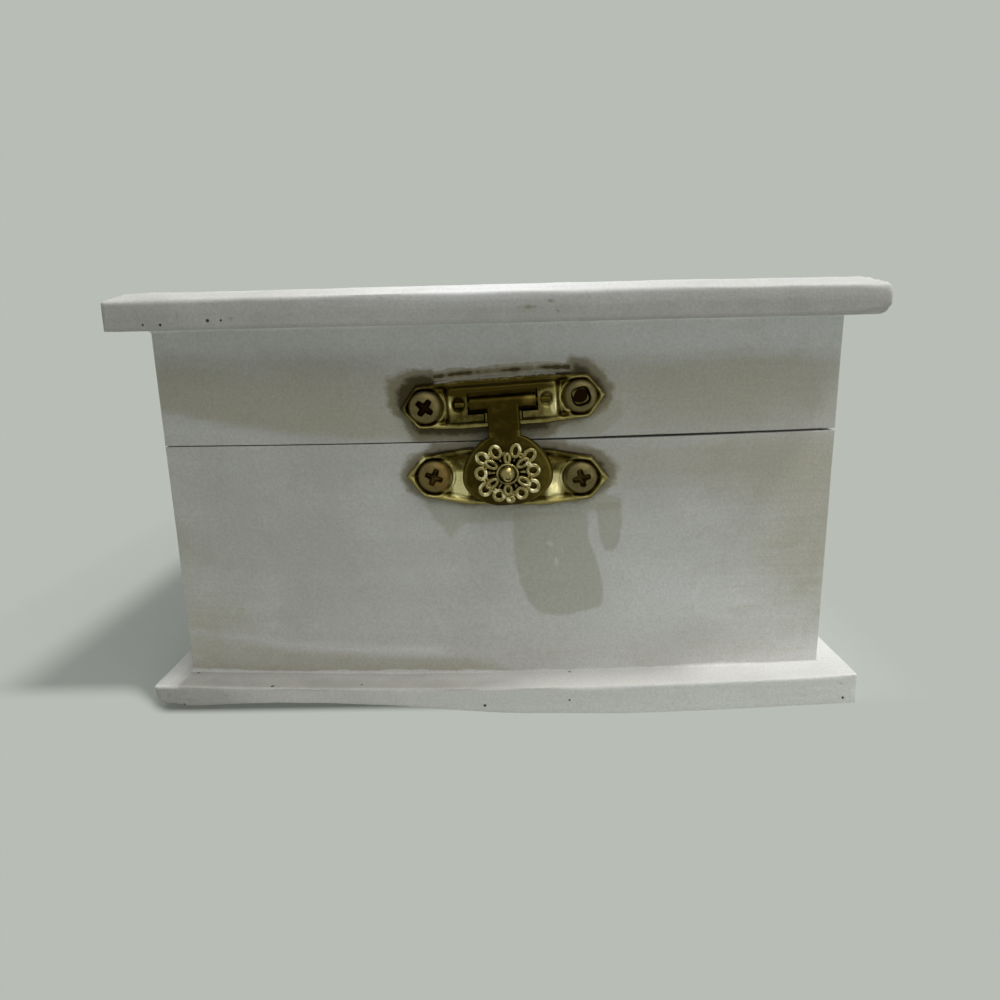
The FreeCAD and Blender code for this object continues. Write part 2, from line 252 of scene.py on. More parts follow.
def boardShape(node, seed):
    # rounded box with a wandering edge, its front pushed to the bow's arc
    low, high = boxOf(node)
    lid = node == "lid_board"
    most = wood["wornCorner"] * 1.05
    xs = axisSteps(low[0], high[0], wood["step"], most)
    ys = axisSteps(low[1], high[1], wood["step"], most)
    zs = np.linspace(low[2], high[2], 15)
    points, faces = boxLattice(xs, ys, zs)
    x, y, z = points.T
    radius = wood["arris"] * (1 + wood["edgeWander"] * wobble(points, 14, seed))
    if lid:
        ends = smooth(47, 50.5, x)
        radius = radius + (wood["lidEndUnder"] - radius) * ends * smooth(low[2] + 1.6, low[2] + 1.1, z)
        radius = radius + (wood["lidEndOver"] - radius) * ends * smooth(high[2] - 1.5, high[2] - 0.9, z)
    else:
        worn = smooth(-46, -50.5, x) * smooth(4.4, 0.6, z) * smooth(-20, -36, y)
        radius = radius + (wood["wornCorner"] - radius) * worn
        radius = radius * (1 - 0.7 * smooth(-12, 10, x) * smooth(1.2, 0.4, z))
    inner, out = roundEdges(points, low, high, radius)
    dent = wood["wave"] * (0.5 + 0.5 * wobble(points, 7, seed + 1))
    points = inner + out * (radius - dent)[:, None]
    x, y, z = points.T
    edge = np.minimum.reduce([x - low[0], high[0] - x, y - low[1], high[1] - y])
    if lid:
        # the top comes down evenly across a bevel whose width wanders
        across = wood["bevelWidth"] * (1 + 0.16 * wobble(points * [1, 1, 0], 22, seed + 2))
        share = edge / across
        drop = wood["bevelHeight"] * (1 - smooth(0, 1, share) * 0.35 - 0.65 * np.clip(share, 0, 1))
        drop = drop * (1 + 0.05 * wobble(points * [1, 1, 0], 9, seed + 3))
        z = low[2] + (z - low[2]) * (high[2] - low[2] - drop) / (high[2] - low[2])
    else:
        # the lower front edge rises off the table in a long shallow arch
        share = 1 - (z - low[2]) / (high[2] - low[2])
        z = z + np.interp(x, wood["liftedAt"], wood["lifted"]) * smooth(-35.5, -42.0, y) * share
    front = bowed(x, low[1], box["boardBow"], box["boardHalf"])
    y = high[1] + (y - high[1]) * (high[1] - front) / (high[1] - low[1])
    return np.stack([x, y, z], -1), faces


def wallShape(node, seed):
    # rounded box; a front wall's outer face is pushed to the bow's arc and its inner face stays flat
    low, high = boxOf(node)
    edge = wood["wallEdge"]
    axes = [axisSteps(low[k], high[k], wood["step"], edge * 1.5) for k in range(3)]
    points, faces = boxLattice(*axes)
    radius = edge * (1 + wood["edgeWander"] * wobble(points, 11, seed))
    # paint has closed the seam towards the left of the front
    seamOpen = smooth(-14, 26, points[:, 0]) * smooth(0, -8, points[:, 1]) + smooth(-8, 0, points[:, 1])
    seamSide = high[2] if high[2] < box["seam"] else low[2]
    nearSeam = smooth(1.2, 0, np.abs(points[:, 2] - seamSide))
    radius = radius * (1 - 0.6 * nearSeam * (1 - seamOpen))
    inner, out = roundEdges(points, low, high, radius)
    dent = wood["wave"] * wood["wallWave"] * (0.5 + 0.5 * wobble(points, 9, seed + 1))
    # no hollows on the faces that meet another piece
    dent = dent * smooth(0, 1.2, np.minimum(points[:, 2] - low[2], high[2] - points[:, 2]))
    points = inner + out * (radius - dent)[:, None]
    # the sawn edge wanders a little, so that the seam's line isn't ruled
    inward = -1 if seamSide == high[2] else 1
    wander = wood["sawnWander"] * (1 + wobble(points * [1, 1, 0], 16, seed + 2))
    points[:, 2] += inward * nearSeam * (wander * seamOpen - wood["filledCut"] * (1 - seamOpen))
    x, y, z = points.T
    dip = np.interp(x, wood["dipAt"], wood["dip"]) * smooth(25, -30, y)
    points[:, 2] -= dip * smooth(5, 0.5, np.abs(z - seamSide))
    if node.endswith("front_wall"):
        x, y, z = points.T
        arc = bowed(x, *wallFront)
        y = high[1] + (y - high[1]) * (high[1] - arc) / (high[1] - low[1])
        points = np.stack([x, y, z], -1)
    return points, faces


def insideDepth(points):
    # how far a point lies inside the line where the paint ends, negative outside it
    x, y, z = points.T
    side = box["innerSide"] + wood["bareFrom"] - np.abs(x)
    rear = box["innerBack"] + wood["bareFrom"] - y
    front = y - (box["innerFront"] - wood["bareFromFront"])
    depth = np.minimum.reduce([side, rear, front])
    board = (z < box["baseTop"] - 0.6) | (z > box["lidUnder"] + 0.6)
    return np.where(board, allPainted, depth)


# Outlines on the front, as corners (x, z): sharp-edged stains, a smear under the catch, and the brown-green
# stain round the two hasp plates.
outlines = {
    "stain": [[(1.8, 29.4), (1.9, 22.1), (2.8, 18.2), (3.9, 15.4), (5.7, 13.7), (8.7, 13.2), (12.4, 13.9),
               (14.8, 14.6), (15.1, 17.1), (14.7, 19.9), (13.9, 22.4), (12.9, 25.0), (12.7, 29.3)],
              [(13.7, 30.4), (14.3, 25.2), (15.0, 23.4), (15.9, 22.8), (17.3, 23.8), (17.7, 27.0),
               (17.6, 30.8)]],
    "smear": [[(-11.0, 31.2), (-9.6, 28.4), (-8.2, 27.0), (-7.0, 25.2), (-6.0, 26.6), (-5.0, 27.7), (2, 27.9),
               (8.7, 28.7), (17.5, 29.4), (17.9, 31.6), (4, 32.0)],
              [(7.6, 40.1), (7.6, 43.4), (12.0, 44.2), (17.2, 45.4), (17.6, 42.6), (14.5, 40.1)]],
    "lidGrime": [[(-15.5, 46.0), (-15.3, 48.4), (-13.4, 49.5), (-8.9, 49.6), (-8.6, 48.2), (10.2, 49.4),
                  (10.2, 50.9), (12.4, 50.7), (14.6, 49.0), (16.2, 46.9), (15.6, 44.4), (13.2, 43.2),
                  (8, 42.0), (8, 40.0), (-1.0, 39.5), (-11.5, 39.2), (-13.0, 41.2), (-14.6, 43.6)]],
    "boxGrime": [[(-14.0, 34.6), (-12.8, 37.4), (-9.8, 38.6), (-9.4, 39.9), (8.8, 39.9),
                  (9.6, 39.0), (14, 38.3),
                  (16.6, 36.8), (16.9, 34.6), (15.6, 32.4), (12.2, 31.0), (6, 30.4), (-4, 30.4), (-10, 31.2),
                  (-12.7, 32.6)]],
}
# Two brushed edges: along each, thin yellowish paint meets a whiter stroke. Places x and z along them.
lidStroke = {"x": [-48, -42.6, -35.3, -28.2, -21, -12, -4], "z": [44.5, 43.3, 41.9, 40.9, 40.3, 39.6, 39.0]}
baseStroke = {"x": [-48, -40, -32, -22, -12, -2, 4], "z": [10.9, 9.7, 8.2, 7.6, 7.3, 6.6, 4.0]}

# Scuffs on the boards' front edges: place x and z, half width, half height, depth.
scuffs = {
    "lid_board": [(4.6, 57.7, 1.8, 0.45, 2.3), (7.3, 58.4, 0.8, 0.4, 2.2), (8.2, 57.1, 0.8, 0.4, 2.0),
                  (-41.6, 57.6, 0.55, 1.1, 1.6), (-40.6, 59.0, 0.9, 0.4, 1.5), (-34.6, 57.2, 1.1, 0.5, 1.6),
                  (-31.0, 58.4, 0.7, 0.9, 1.5), (-28.4, 60.2, 2.4, 0.4, 1.8), (-27.4, 58.6, 0.6, 1.0, 1.6),
                  (-25.6, 58.8, 0.55, 1.2, 1.7), (-14.2, 59.2, 0.9, 0.4, 1.5)],
    "base_board": [(49.7, 3.2, 0.8, 0.55, 1.9), (46.6, 2.0, 0.6, 0.9, 1.6), (44.0, 1.6, 1.0, 0.5, 1.4),
                   (38.5, 3.4, 1.8, 0.4, 1.4), (-49.6, 3.0, 1.0, 1.0, 1.6), (-46.5, 2.4, 1.6, 0.5, 1.5),
                   (-41.0, 3.4, 2.2, 0.4, 1.5)],
}


def outlineDepth(points, polygons):
    # millimetres inside the nearest outline, negative outside, seen from the front
    place = points[:, [0, 2]]
    best = np.full(len(points), -99.0)
    for corners in polygons:
        corners = np.array(corners, float)
        away = np.full(len(points), 99.0)
        crossings = np.zeros(len(points), int)
        for a, b in zip(corners, np.roll(corners, -1, 0)):
            side = b - a
            share = np.clip((place - a) @ side / (side @ side), 0, 1)
            away = np.minimum(away, np.linalg.norm(place - a - share[:, None] * side, axis=1))
            level = (a[1] > place[:, 1]) != (b[1] > place[:, 1])
            reach = a[0] + side[0] * (place[:, 1] - a[1]) / (side[1] if side[1] else 1e-9)
            crossings += level & (place[:, 0] < reach)
        best = np.maximum(best, np.where(crossings % 2, away, -away))
    return best


def blob(x, z, cx, cz, wide, high):
    return np.exp(-((x - cx) / wide) ** 2 - ((z - cz) / high) ** 2)


def thinness(points, body):
    # 0 where the paint covers well, 1 where it is thin
    x, z = points[:, 0], points[:, 2]
    if body == "lid":
        above = z - np.interp(x, lidStroke["x"], lidStroke["z"])
        left = 0.95 - 0.5 * smooth(0, 13, above) - 0.9 * smooth(-23, 1, x)
        right = 0.9 * blob(x, z, 32, 46.5, 22, 7)
        return (np.maximum(np.minimum(left, above * 1.3), right) + 0.12) * smooth(54.5, 49.5, z)
    above = z - np.interp(x, baseStroke["x"], baseStroke["z"])
    band = (0.62 + 0.25 * smooth(6.4, 4.9, z)) * smooth(0.5, -1.0, above) * smooth(8, -8, x)
    corner = 0.6 * blob(x, z, -46, 12.5, 14, 4.5) + 0.45 * blob(x, z, -47, 24, 9, 8)
    right = 0.85 * blob(x, z, 46, 24, 14, 17) + 0.7 * blob(x, z, 30, 36, 24, 5)
    right = right + 0.3 * blob(x, z, 12, 7, 26, 4)
    return band + corner * smooth(-0.3, 1.2, above) + right


def strokeLight(points, body):
    # the whiter stroke that runs along a brushed edge
    x, z = points[:, 0], points[:, 2]
    if body == "lid":
        below = np.interp(x, lidStroke["x"], lidStroke["z"]) - z
        return 0.42 * smooth(-0.3, 0.9, below) * smooth(-12, -30, x)
    above = z - np.interp(x, baseStroke["x"], baseStroke["z"])
    return 0.45 * np.exp(-((above - 0.8) / 0.9) ** 2) * smooth(2, -12, x) * smooth(-47, -33, x)


def paintedLightAndDust(points, node, body):
    # painted light and shade, mixed with dust: from -1, shaded, dusty and dull, to 1, lit, clean and white
    x, y, z = points.T
    if node == "lid_board":
        # painted light on the board's top, weaker towards the left
        top = smooth(57.5, 59.5, z)
        # a painted highlight patch on the top wanders and fades as it runs back
        drift = x + 7 * np.sin(y / 7.5) * smooth(-40, -18, y)
        lit = 0.45 - 0.15 * smooth(-8, -34, drift)
        lit = lit + (0.5 - 0.2 * smooth(-15, 40, y)) * blob(drift, z, -4, 60, 15, 20)
        # painted shade on the front edge below the top, deeper towards the right
        return top * lit - (1 - top) * (0.26 + 0.17 * smooth(-30, 30, x))
    if node == "base_board":
        # painted highlight along the ledge's front arris, where paint has also built up, fading towards the
        # right
        arris = np.exp(-((z - 4.5) / 0.45) ** 2) * smooth(0.75, 0.2, y - bowed(x, *boardFront))
        ledge = smooth(4.0, 4.4, z)
        # painted light on the ledge's left end
        side = smooth(-48.2, -49.2, x) * ledge
        # painted shade on the front face, deeper towards the left
        front = 0.6 - 0.16 * smooth(24, -8, x) - 0.52 * smooth(-2, -34, x) - 0.5 * smooth(-33, -44, x)
        outward = smooth(4.6, 0.4, y - bowed(x, *boardFront))
        # painted shadow of the lid's overhang on the ledge, deeper near its front edge and towards the left;
        # painted light on its right end
        paintedLedgeShade = (0.68 + 0.5 * outward) * smooth(20, -12, x)
        onLedge = 0.22 + 0.3 * smooth(34, 43, x) - paintedLedgeShade
        return (1 - ledge) * front + ledge * onLedge + 0.3 * arris * smooth(10, -20, x) + 1.3 * side
    if node == "front_wall":
        # painted light and shade: lighter towards the right, darker towards the left and in a patch low on
        # the right
        lit = 0.22 + 0.6 * smooth(-8, 34, x) * smooth(34, 14, z) - 0.2 * smooth(-10, -40, x)
        lit = lit + 0.4 * smooth(16, 34, x) * smooth(20, 34, z) - 0.5 * blob(x, z, 30, 7, 10, 5)
        return lit + strokeLight(points, body)
    if node == "lid_front_wall":
        # painted light just under the lid board's overhang, stronger towards the right, then painted shade
        # towards the left and painted light towards the right
        paintedLightUnderLid = (0.95 + 0.25 * smooth(0, 30, x)) * smooth(47.5, 54.5, z)
        return paintedLightUnderLid - 0.2 * smooth(4, -34, x) + 0.3 * smooth(8, 30, x) + strokeLight(points, body)
    return np.full(len(points), 0.1)


def scuffDepth(points, node):
    # faint dirty scuffs on a board's front edge
    x, y, z = points.T
    spots = [depth * blob(x, z, midX, midZ, wide, high) for midX, midZ, wide, high, depth in scuffs[node]]
    return np.where(y < bowed(x, *boardFront) + 0.5, -1.6 + np.max(spots, 0), farOff)


def plateStain(points, body):
    # the stain round a plate is deepest close to it; the lid has two dabs more and one place less
    where, midHalf = (hasp, plate["haspHalf"]) if body == "lid" else (catch, plate["catchHalf"])
    u, v, _ = toHaspFrame(points, where).T
    outside = np.where(np.abs(v) < plateHalf(u, midHalf), 0, edgeDistance(u, v, midHalf))
    near = 1.7 * blob(u, v, -10.6, 4.0, 2.6, 0.75) + 0.9 * blob(u, v, 10.4, 4.4, 1.6, 0.8)
    near = near - 1.3 * blob(u, v, -14.0, -1.9, 1.6, 1.6)
    depth = {"lid": 1.3, "box": 0.5}[body]
    return depth * np.exp(-((outside / 1.1) ** 2)) + (near if body == "lid" else 0)


def finishWood(piece, node, body, along):
    points = meshPoints(piece)
    x, y, z = points.T
    onFace = (y < bowed(x, *wallFront) + 0.5) & node.endswith("front_wall")
    grime = outlineDepth(points, outlines[body + "Grime"])
    grime = grime + plateStain(points, body) * smooth(-1.5, 0.3, grime)
    # two short scratches cross the large stain
    scratches = blob(x - 0.25 * (z - 22.4), z, 8.5, 22.4, 0.45, 1.6) + 0.8 * blob(x, z, 7.4, 24.6, 0.8, 0.6)
    stain = np.minimum(outlineDepth(points, outlines["stain"]), 1.0 - 1.9 * scratches)
    smear = outlineDepth(points, outlines["smear"])
    values = {"stain": stain, "smear": smear, "grime": grime, "thin": thinness(points, body)}
    for name, value in values.items():
        elsewhere = scuffDepth(points, node) if name == "grime" and node in scuffs else farOff
        paintValue(piece, name, np.where(onFace, value, elsewhere))
    # painted light and shade, mixed with dust, for each point
    paintValue(piece, "litClean", paintedLightAndDust(points, node, body))
    paintValue(piece, "inside", insideDepth(points))
    piece.data.materials.append(paintedWood("paintedWoodAlong" + along, along))
    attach(piece, body)
    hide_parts(node)


def addNode(tree, kind, settings=None, **values):
    # a shader node with its settings made; a value is a number, a colour or another node's output
    made = tree.nodes.new("ShaderNode" + kind)
    for name, value in (settings or {}).items():
        setattr(made, name, value)
    for name, value in values.items():
        key = int(name[2:]) if name.startswith("in") and name[2:].isdigit() else name.replace("_", " ")
        if isinstance(value, bpy.types.NodeSocket):
            tree.links.new(value, made.inputs[key])
        else:
            made.inputs[key].default_value = value
    return made


def maths(tree, operation, a, b):
    return addNode(tree, "Math", {"operation": operation}, in0=a, in1=b).outputs[0]


def plus(tree, a, b):
    return maths(tree, "ADD", a, b)


def minus(tree, a, b):
    return maths(tree, "SUBTRACT", a, b)


def times(tree, a, b):
    return maths(tree, "MULTIPLY", a, b)


def vectorMaths(tree, operation, a, b=(0, 0, 0)):
    made = addNode(tree, "VectorMath", {"operation": operation}, in0=a, in1=b)
    return made.outputs["Value" if operation in ("LENGTH", "DISTANCE") else "Vector"]


def stepBetween(tree, value, low, high):
    # smooth 0 to 1 as value goes from low to high
    step = {"interpolation_type": "SMOOTHSTEP"}
    return addNode(tree, "MapRange", step, Value=value, From_Min=low, From_Max=high).outputs[0]


def partBetween(tree, value, low, high, most):
    # the same, but from 0 to most
    return times(tree, stepBetween(tree, value, low, high), most)


def swing(tree, value, width):
    # a noise between 0 and 1 as a change to both sides of nothing
    return times(tree, minus(tree, value, 0.5), width)


def mixColour(tree, factor, a, b, blend="MIX"):
    kind = {"data_type": "RGBA", "blend_type": blend}
    return addNode(tree, "Mix", kind, in0=factor, in6=a, in7=b).outputs[2]


def attribute(tree, name):
    return addNode(tree, "Attribute", {"attribute_name": name}).outputs["Fac"]


def objectPlace(tree, stretch=(1000, 1000, 1000)):
    # Object coordinates in millimetres, or squeezed by stretch to draw a pattern out
    coordinates = tree.nodes.new("ShaderNodeTexCoord").outputs["Object"]
    return vectorMaths(tree, "MULTIPLY", coordinates, stretch)


def noise(tree, place, scale, detail=4.0, roughness=0.55, distortion=0.0):
    return addNode(tree, "TexNoise", Vector=place, Scale=scale, Detail=detail, Roughness=roughness,
                   Distortion=distortion).outputs["Fac"]


def addBump(tree, shader, height, look):
    bump = addNode(tree, "Bump", Height=height, Strength=look["bump"], Distance=look["bumpDepth"])
    tree.links.new(bump.outputs[0], shader.inputs["Normal"])


def newMaterial(name):
    material = bpy.data.materials.new(name)
    material.use_nodes = True
    tree = material.node_tree
    return material, tree, tree.nodes["Principled BSDF"]


paint = {
    "white": (0.70, 0.695, 0.66, 1.0),
    "greyWhite": (0.60, 0.595, 0.56, 1.0),
    "thin": (0.52, 0.495, 0.385, 1.0),
    "stain": (0.46, 0.45, 0.34, 1.0),
    "grime": (0.205, 0.17, 0.066, 1.0),
    "darkGrime": (0.066, 0.05, 0.012, 1.0),
    # the two ends of the painted light and dust: shaded dusty paint and lit clean paint
    "shadedDusty": (0.34, 0.33, 0.30, 1.0),
    "litClean": (0.86, 0.865, 0.85, 1.0),
    "bareWood": (0.60, 0.44, 0.27, 1.0),
    "bareWoodDark": (0.42, 0.28, 0.15, 1.0),
    "pin": (0.05, 0.045, 0.035, 1.0),
    "specular": 0.35,
    "bump": 0.55,
    "bumpDepth": 0.00012,    # in metres
    "pinholes": [(-34.0, -41.9, 4.5, 0.27), (-20.8, -41.9, 4.5, 0.16), (10.0, -38.8, 4.5, 0.2),
                 (-46.9, -37.1, 4.5, 0.2), (-47.5, -41.6, 1.6, 0.2), (-2.7, -43.7, 1.8, 0.22),
                 (9.6, -43.6, 2.4, 0.16), (50.0, -41.4, 0.9, 0.2), (-44.0, -42.0, 56.55, 0.2),
                 (-37.5, -42.5, 56.95, 0.24), (-46.4, -41.8, 56.6, 0.17), (-35.7, -42.6, 56.95, 0.16)],
}
woodMaterials = {}


def paintedWood(name, along):
    # brushed chalky paint over pale wood, with thin places, stains, grime, pinholes and bare wood inside
    if name in woodMaterials:
        return woodMaterials[name]
    material, tree, shader = newMaterial(name)
    place = objectPlace(tree)
    drawn = objectPlace(tree, (60, 1500, 1500) if along == "X" else (1500, 60, 1500))
    clouds = noise(tree, place, 0.055, 3.0)
    blotches = noise(tree, place, 0.21, 5.0, 0.6, 0.6)
    streaks = noise(tree, drawn, 0.75, 5.0, 0.6)
    broadStreaks = noise(tree, drawn, 0.22, 3.0, 0.5)
    speckle = noise(tree, place, 3.2, 2.0)

    colour = mixColour(tree, stepBetween(tree, clouds, 0.35, 0.66), paint["white"], paint["greyWhite"])
    cover = partBetween(tree, broadStreaks, 0.38, 0.68, 0.5)
    colour = mixColour(tree, cover, colour, paint["greyWhite"])
    uneven = minus(tree, blotches, 0.5)
    mottle = noise(tree, place, 1.9, 3.0, 0.6)
    colour = mixColour(tree, partBetween(tree, mottle, 0.4, 0.62, 0.32), colour, paint["greyWhite"])
    # painted light and shade mixed with dust: towards lit, clean white and towards shaded, dusty grey, with a
    # mottled change between them
    litClean = plus(tree, attribute(tree, "litClean"), times(tree, uneven, 0.5))
    colour = mixColour(tree, stepBetween(tree, litClean, 0.0, 1.1), colour, paint["litClean"])
    colour = mixColour(tree, stepBetween(tree, litClean, 0.0, -1.1), colour, paint["shadedDusty"])
    # thin paint lets a yellowish ground through
    thin = plus(tree, attribute(tree, "thin"), times(tree, uneven, 0.55))
    thin = plus(tree, thin, swing(tree, streaks, 0.5))
    thin = partBetween(tree, thin, 0.0, 1.1, 0.8)
    colour = mixColour(tree, thin, colour, paint["thin"])
    general = partBetween(tree, blotches, 0.48, 0.72, 0.2)
    colour = mixColour(tree, general, colour, paint["thin"])
    fleck = partBetween(tree, speckle, 0.58, 0.78, 0.16)
    colour = mixColour(tree, fleck, colour, paint["thin"])
    ragged = times(tree, uneven, 0.5)
    stain = stepBetween(tree, plus(tree, attribute(tree, "stain"), ragged), -0.15, 0.35)
    colour = mixColour(tree, times(tree, stain, 0.55), colour, paint["stain"])
    smear = stepBetween(tree, plus(tree, attribute(tree, "smear"), ragged), -0.2, 0.5)
    colour = mixColour(tree, times(tree, smear, 0.5), colour, paint["stain"])
    # fine grain of the coat, lighter and darker
    grain = plus(tree, times(tree, noise(tree, place, 2.7, 2.0, 0.65), 0.40), 0.80)
    colour = mixColour(tree, 1.0, colour, grain, "MULTIPLY")
    # brown-green stain that creeps out from the hasp plates, in dabs
    dabs = noise(tree, objectPlace(tree, (700, 1000, 1000)), 0.9, 5.0, 0.65)
    halo = plus(tree, attribute(tree, "grime"), swing(tree, dabs, 2.6))
    colour = mixColour(tree, partBetween(tree, halo, -0.6, 0.9, 0.74), colour, paint["grime"])
    colour = mixColour(tree, stepBetween(tree, halo, 1.3, 2.8), colour, paint["darkGrime"])

    # bare wood inside: grain drawn out along the board
    rings = objectPlace(tree, (22, 420, 420) if along == "X" else (420, 22, 420))
    ring = noise(tree, rings, 1.0, 6.0, 0.62, 1.2)
    bare = mixColour(tree, stepBetween(tree, ring, 0.38, 0.66), paint["bareWood"], paint["bareWoodDark"])
    pores = partBetween(tree, streaks, 0.56, 0.72, 0.35)
    bare = mixColour(tree, pores, bare, paint["bareWoodDark"])
    slop = plus(tree, attribute(tree, "inside"), swing(tree, noise(tree, place, 0.16, 1.5), 3.6))
    isBare = stepBetween(tree, slop, 0.0, 0.5)
    colour = mixColour(tree, isBare, colour, bare)

    # pinholes: a dark dot round each named place
    dots = None
    for x, y, z, radius in paint["pinholes"]:
        away = vectorMaths(tree, "DISTANCE", place, (x, y, z))
        dot = addNode(tree, "MapRange", Value=away, From_Min=radius * 1.25, From_Max=radius * 0.7).outputs[0]
        dots = dot if dots is None else maths(tree, "MAXIMUM", dots, dot)
    colour = mixColour(tree, dots, colour, paint["pin"])
    tree.links.new(colour, shader.inputs["Base Color"])

    roughness = plus(tree, times(tree, blotches, 0.22), 0.44)
    tree.links.new(roughness, shader.inputs["Roughness"])
    shader.inputs["Specular IOR Level"].default_value = paint["specular"]
    height = plus(tree, times(tree, streaks, 0.55), times(tree, speckle, 0.34))
    height = plus(tree, height, times(tree, blotches, 0.9))
    height = minus(tree, height, times(tree, dots, 2.0))
    addBump(tree, shader, height, paint)
    woodMaterials[name] = material
    return material


def makeWood():
    boards = {"base_board": "box", "lid_board": "lid"}
    walls = {"front_wall": "box", "back_wall": "box", "left_wall": "box", "right_wall": "box",
             "lid_front_wall": "lid", "lid_back_wall": "lid", "lid_left_wall": "lid", "lid_right_wall": "lid"}
    for seed, (node, body) in enumerate({**boards, **walls}.items()):
        shape = boardShape if node in boards else wallShape
        points, faces = shape(node, 40 + 7 * seed)
        piece = newPiece("painted_" + node, points, faces)
        along = "Y" if node.endswith(("left_wall", "right_wall")) else "X"
        finishWood(piece, node, body, along)
    print("wood made")


bead = {
    "lidSize": 0.28,
    "baseSize": 0.36,
    "wander": 0.5,           # share by which a bead swells and thins
    "steps": 520,
    "sink": 0.08,            # how far it reaches into the wood behind it
    "ridgeHalf": 0.36,       # half height of the ridge of paint along the lid's hasp plate
    "ridgeUp": 0.22,         # its middle above the plate's edge
    "footReach": 0.85,       # how far its darker foot reaches up the wall
}


def wallPath(count):
    # closed path round the outside of the walls and its outward direction, at even steps
    half, back = box["halfWidth"], box["back"]
    x = np.linspace(-half, half, 121)
    front = np.stack([x, bowed(x, *wallFront)], -1)
    corners = np.concatenate([front, [[half, back], [-half, back], front[0]]])
    length = np.concatenate([[0], np.cumsum(np.linalg.norm(np.diff(corners, axis=0), axis=1))])
    places = np.union1d(np.linspace(0, length[-1], count)[:-1], length[120:-1])
    path = np.stack([np.interp(places, length, corners[:, k]) for k in range(2)], -1)
    before, after = np.roll(path, 1, 0), np.roll(path, -1, 0)
    ahead, behind = after - path, path - before
    sides = [np.stack([d[:, 1], -d[:, 0]], -1) for d in (ahead, behind)]
    a, b = (side / np.linalg.norm(side, axis=1, keepdims=True) for side in sides)
    return path, (a + b) / (1 + (a * b).sum(1, keepdims=True))


def makeBead(name, body, z, up, size, seed):
    # hollow-faced fillet: a quarter of a circle's outside, swept round the walls, its size wandering
    path, out = wallPath(bead["steps"])
    flat = np.concatenate([path, np.zeros((len(path), 1))], 1)
    size = size * (1 + bead["wander"] * wobble(flat, 9, seed) + 0.25 * wobble(flat, 2.5, seed + 1))
    size = size * (1 - 0.6 * smooth(30, 47, path[:, 0]))
    size = np.clip(size, 0.12, 1.0)
    angle = np.linspace(0, math.pi / 2, 6)
    # section in (out, along z), from the board's face to the wall's
    section = [(1 - math.sin(a), 1 - math.cos(a)) for a in angle]
    sink = bead["sink"]
    rows = []
    for across, rise in section:
        place = path + out * (across * size)[:, None]
        rows.append(np.concatenate([place, (z + up * rise * size)[:, None]], 1))
    first = np.concatenate([path + out * size[:, None], np.full((len(path), 1), z - up * sink)], 1)
    corner = np.concatenate([path - out * sink, np.full((len(path), 1), z - up * sink)], 1)
    last = np.concatenate([path - out * sink, (z + up * size)[:, None]], 1)
    rings = np.stack([first] + rows + [last, corner], 1)
    faces = gridFaces(rings.shape[0], rings.shape[1], wrapRows=True, wrapColumns=True)
    piece = newPiece(name, rings.reshape(-1, 3), faces, 70)
    # painted light and dust on the beads: the lid's bead lighter towards the right
    litClean = 0.3 if body == "box" else 0.75 + 0.5 * smooth(-5, 25, meshPoints(piece)[:, 0])
    finishBead(piece, body, litClean)


def finishBead(piece, body, litClean, grime=farOff, thin=farOff):
    values = {"inside": allPainted, "stain": farOff, "smear": farOff, "thin": thin,
              "litClean": litClean, "grime": grime}
    for name, value in values.items():
        paintValue(piece, name, value)
    piece.data.materials.append(paintedWood("paintedWoodAlongX", "X"))
    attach(piece, body)


def makePlateRidge():
    # low ridge of paint that gathered along the upper edge of the lid's hasp plate, and its upper foot,
    # darker in dashes
    u = np.linspace(-9.3, 9.6, 260)[:, None]
    around = np.linspace(0, math.pi, 9)[None, :]
    flat = np.concatenate([u, 0 * u, 0 * u], 1)
    half = bead["ridgeHalf"] * (1 + 0.3 * wobble(flat, 3.5, 131) + 0.16 * wobble(flat, 1.1, 132))[:, None]
    half = half * np.sqrt(smooth(-9.31, -8.6, u) * smooth(9.61, 7.0, u)) + 0.015
    middle = plateHalf(u, plate["haspHalf"]) + bead["ridgeUp"] + 0.07 * wobble(flat, 5.0, 133)[:, None]
    foot = np.array([[0.12, 0.25, 0.4, 0.55, 0.7]]) * bead["footReach"] / 0.7
    v = np.concatenate([middle - np.cos(around) * half, middle + half + foot], 1)
    w = np.concatenate([0.02 + np.sin(around) * half * 0.55, 0.02 + 0 * (half + foot)], 1)
    world = onFront(np.stack([u + 0 * v, v, w], -1).reshape(-1, 3), hasp).reshape(v.shape + (3,))
    arc = bowed(world[..., 0], *wallFront)
    world[..., 1] = arc - w
    back = world[:, ::-1].copy()
    back[..., 1] = arc[:, ::-1] + bead["sink"]
    rings = np.concatenate([world, back], 1)
    faces = gridFaces(rings.shape[0], rings.shape[1], wrapColumns=True)
    count = rings.shape[1]
    ends = [[start + k, start + k + 1, start + count - 2 - k, start + count - 1 - k]
            for start in (0, (len(rings) - 1) * count) for k in range(count // 2 - 1)]
    piece = newPiece("hasp_plate_paint_ridge", rings.reshape(-1, 3), np.concatenate([faces, ends]), 70)
    points = meshPoints(piece)
    local = toHaspFrame(points, hasp)
    past = local[:, 1] - plateHalf(local[:, 0], plate["haspHalf"]) - bead["ridgeUp"] - bead["ridgeHalf"]
    dashes = 1.15 + 0.5 * wobble(local * [1, 0, 0], 1.6, 134) + 0.45 * wobble(local * [1, 0, 0], 4.5, 135)
    # darker in dashes along the foot above the ridge
    dark = 2.7 * dashes * np.exp(-((past - 0.15) / (0.36 * bead["footReach"])) ** 2) - 0.3
    # the lid wall's painted light and shade, made darker on the ridge
    litClean = paintedLightAndDust(points, "lid_front_wall", "lid") - 0.75
    finishBead(piece, "lid", litClean, dark, np.maximum(thinness(points, "lid"), 0.75))


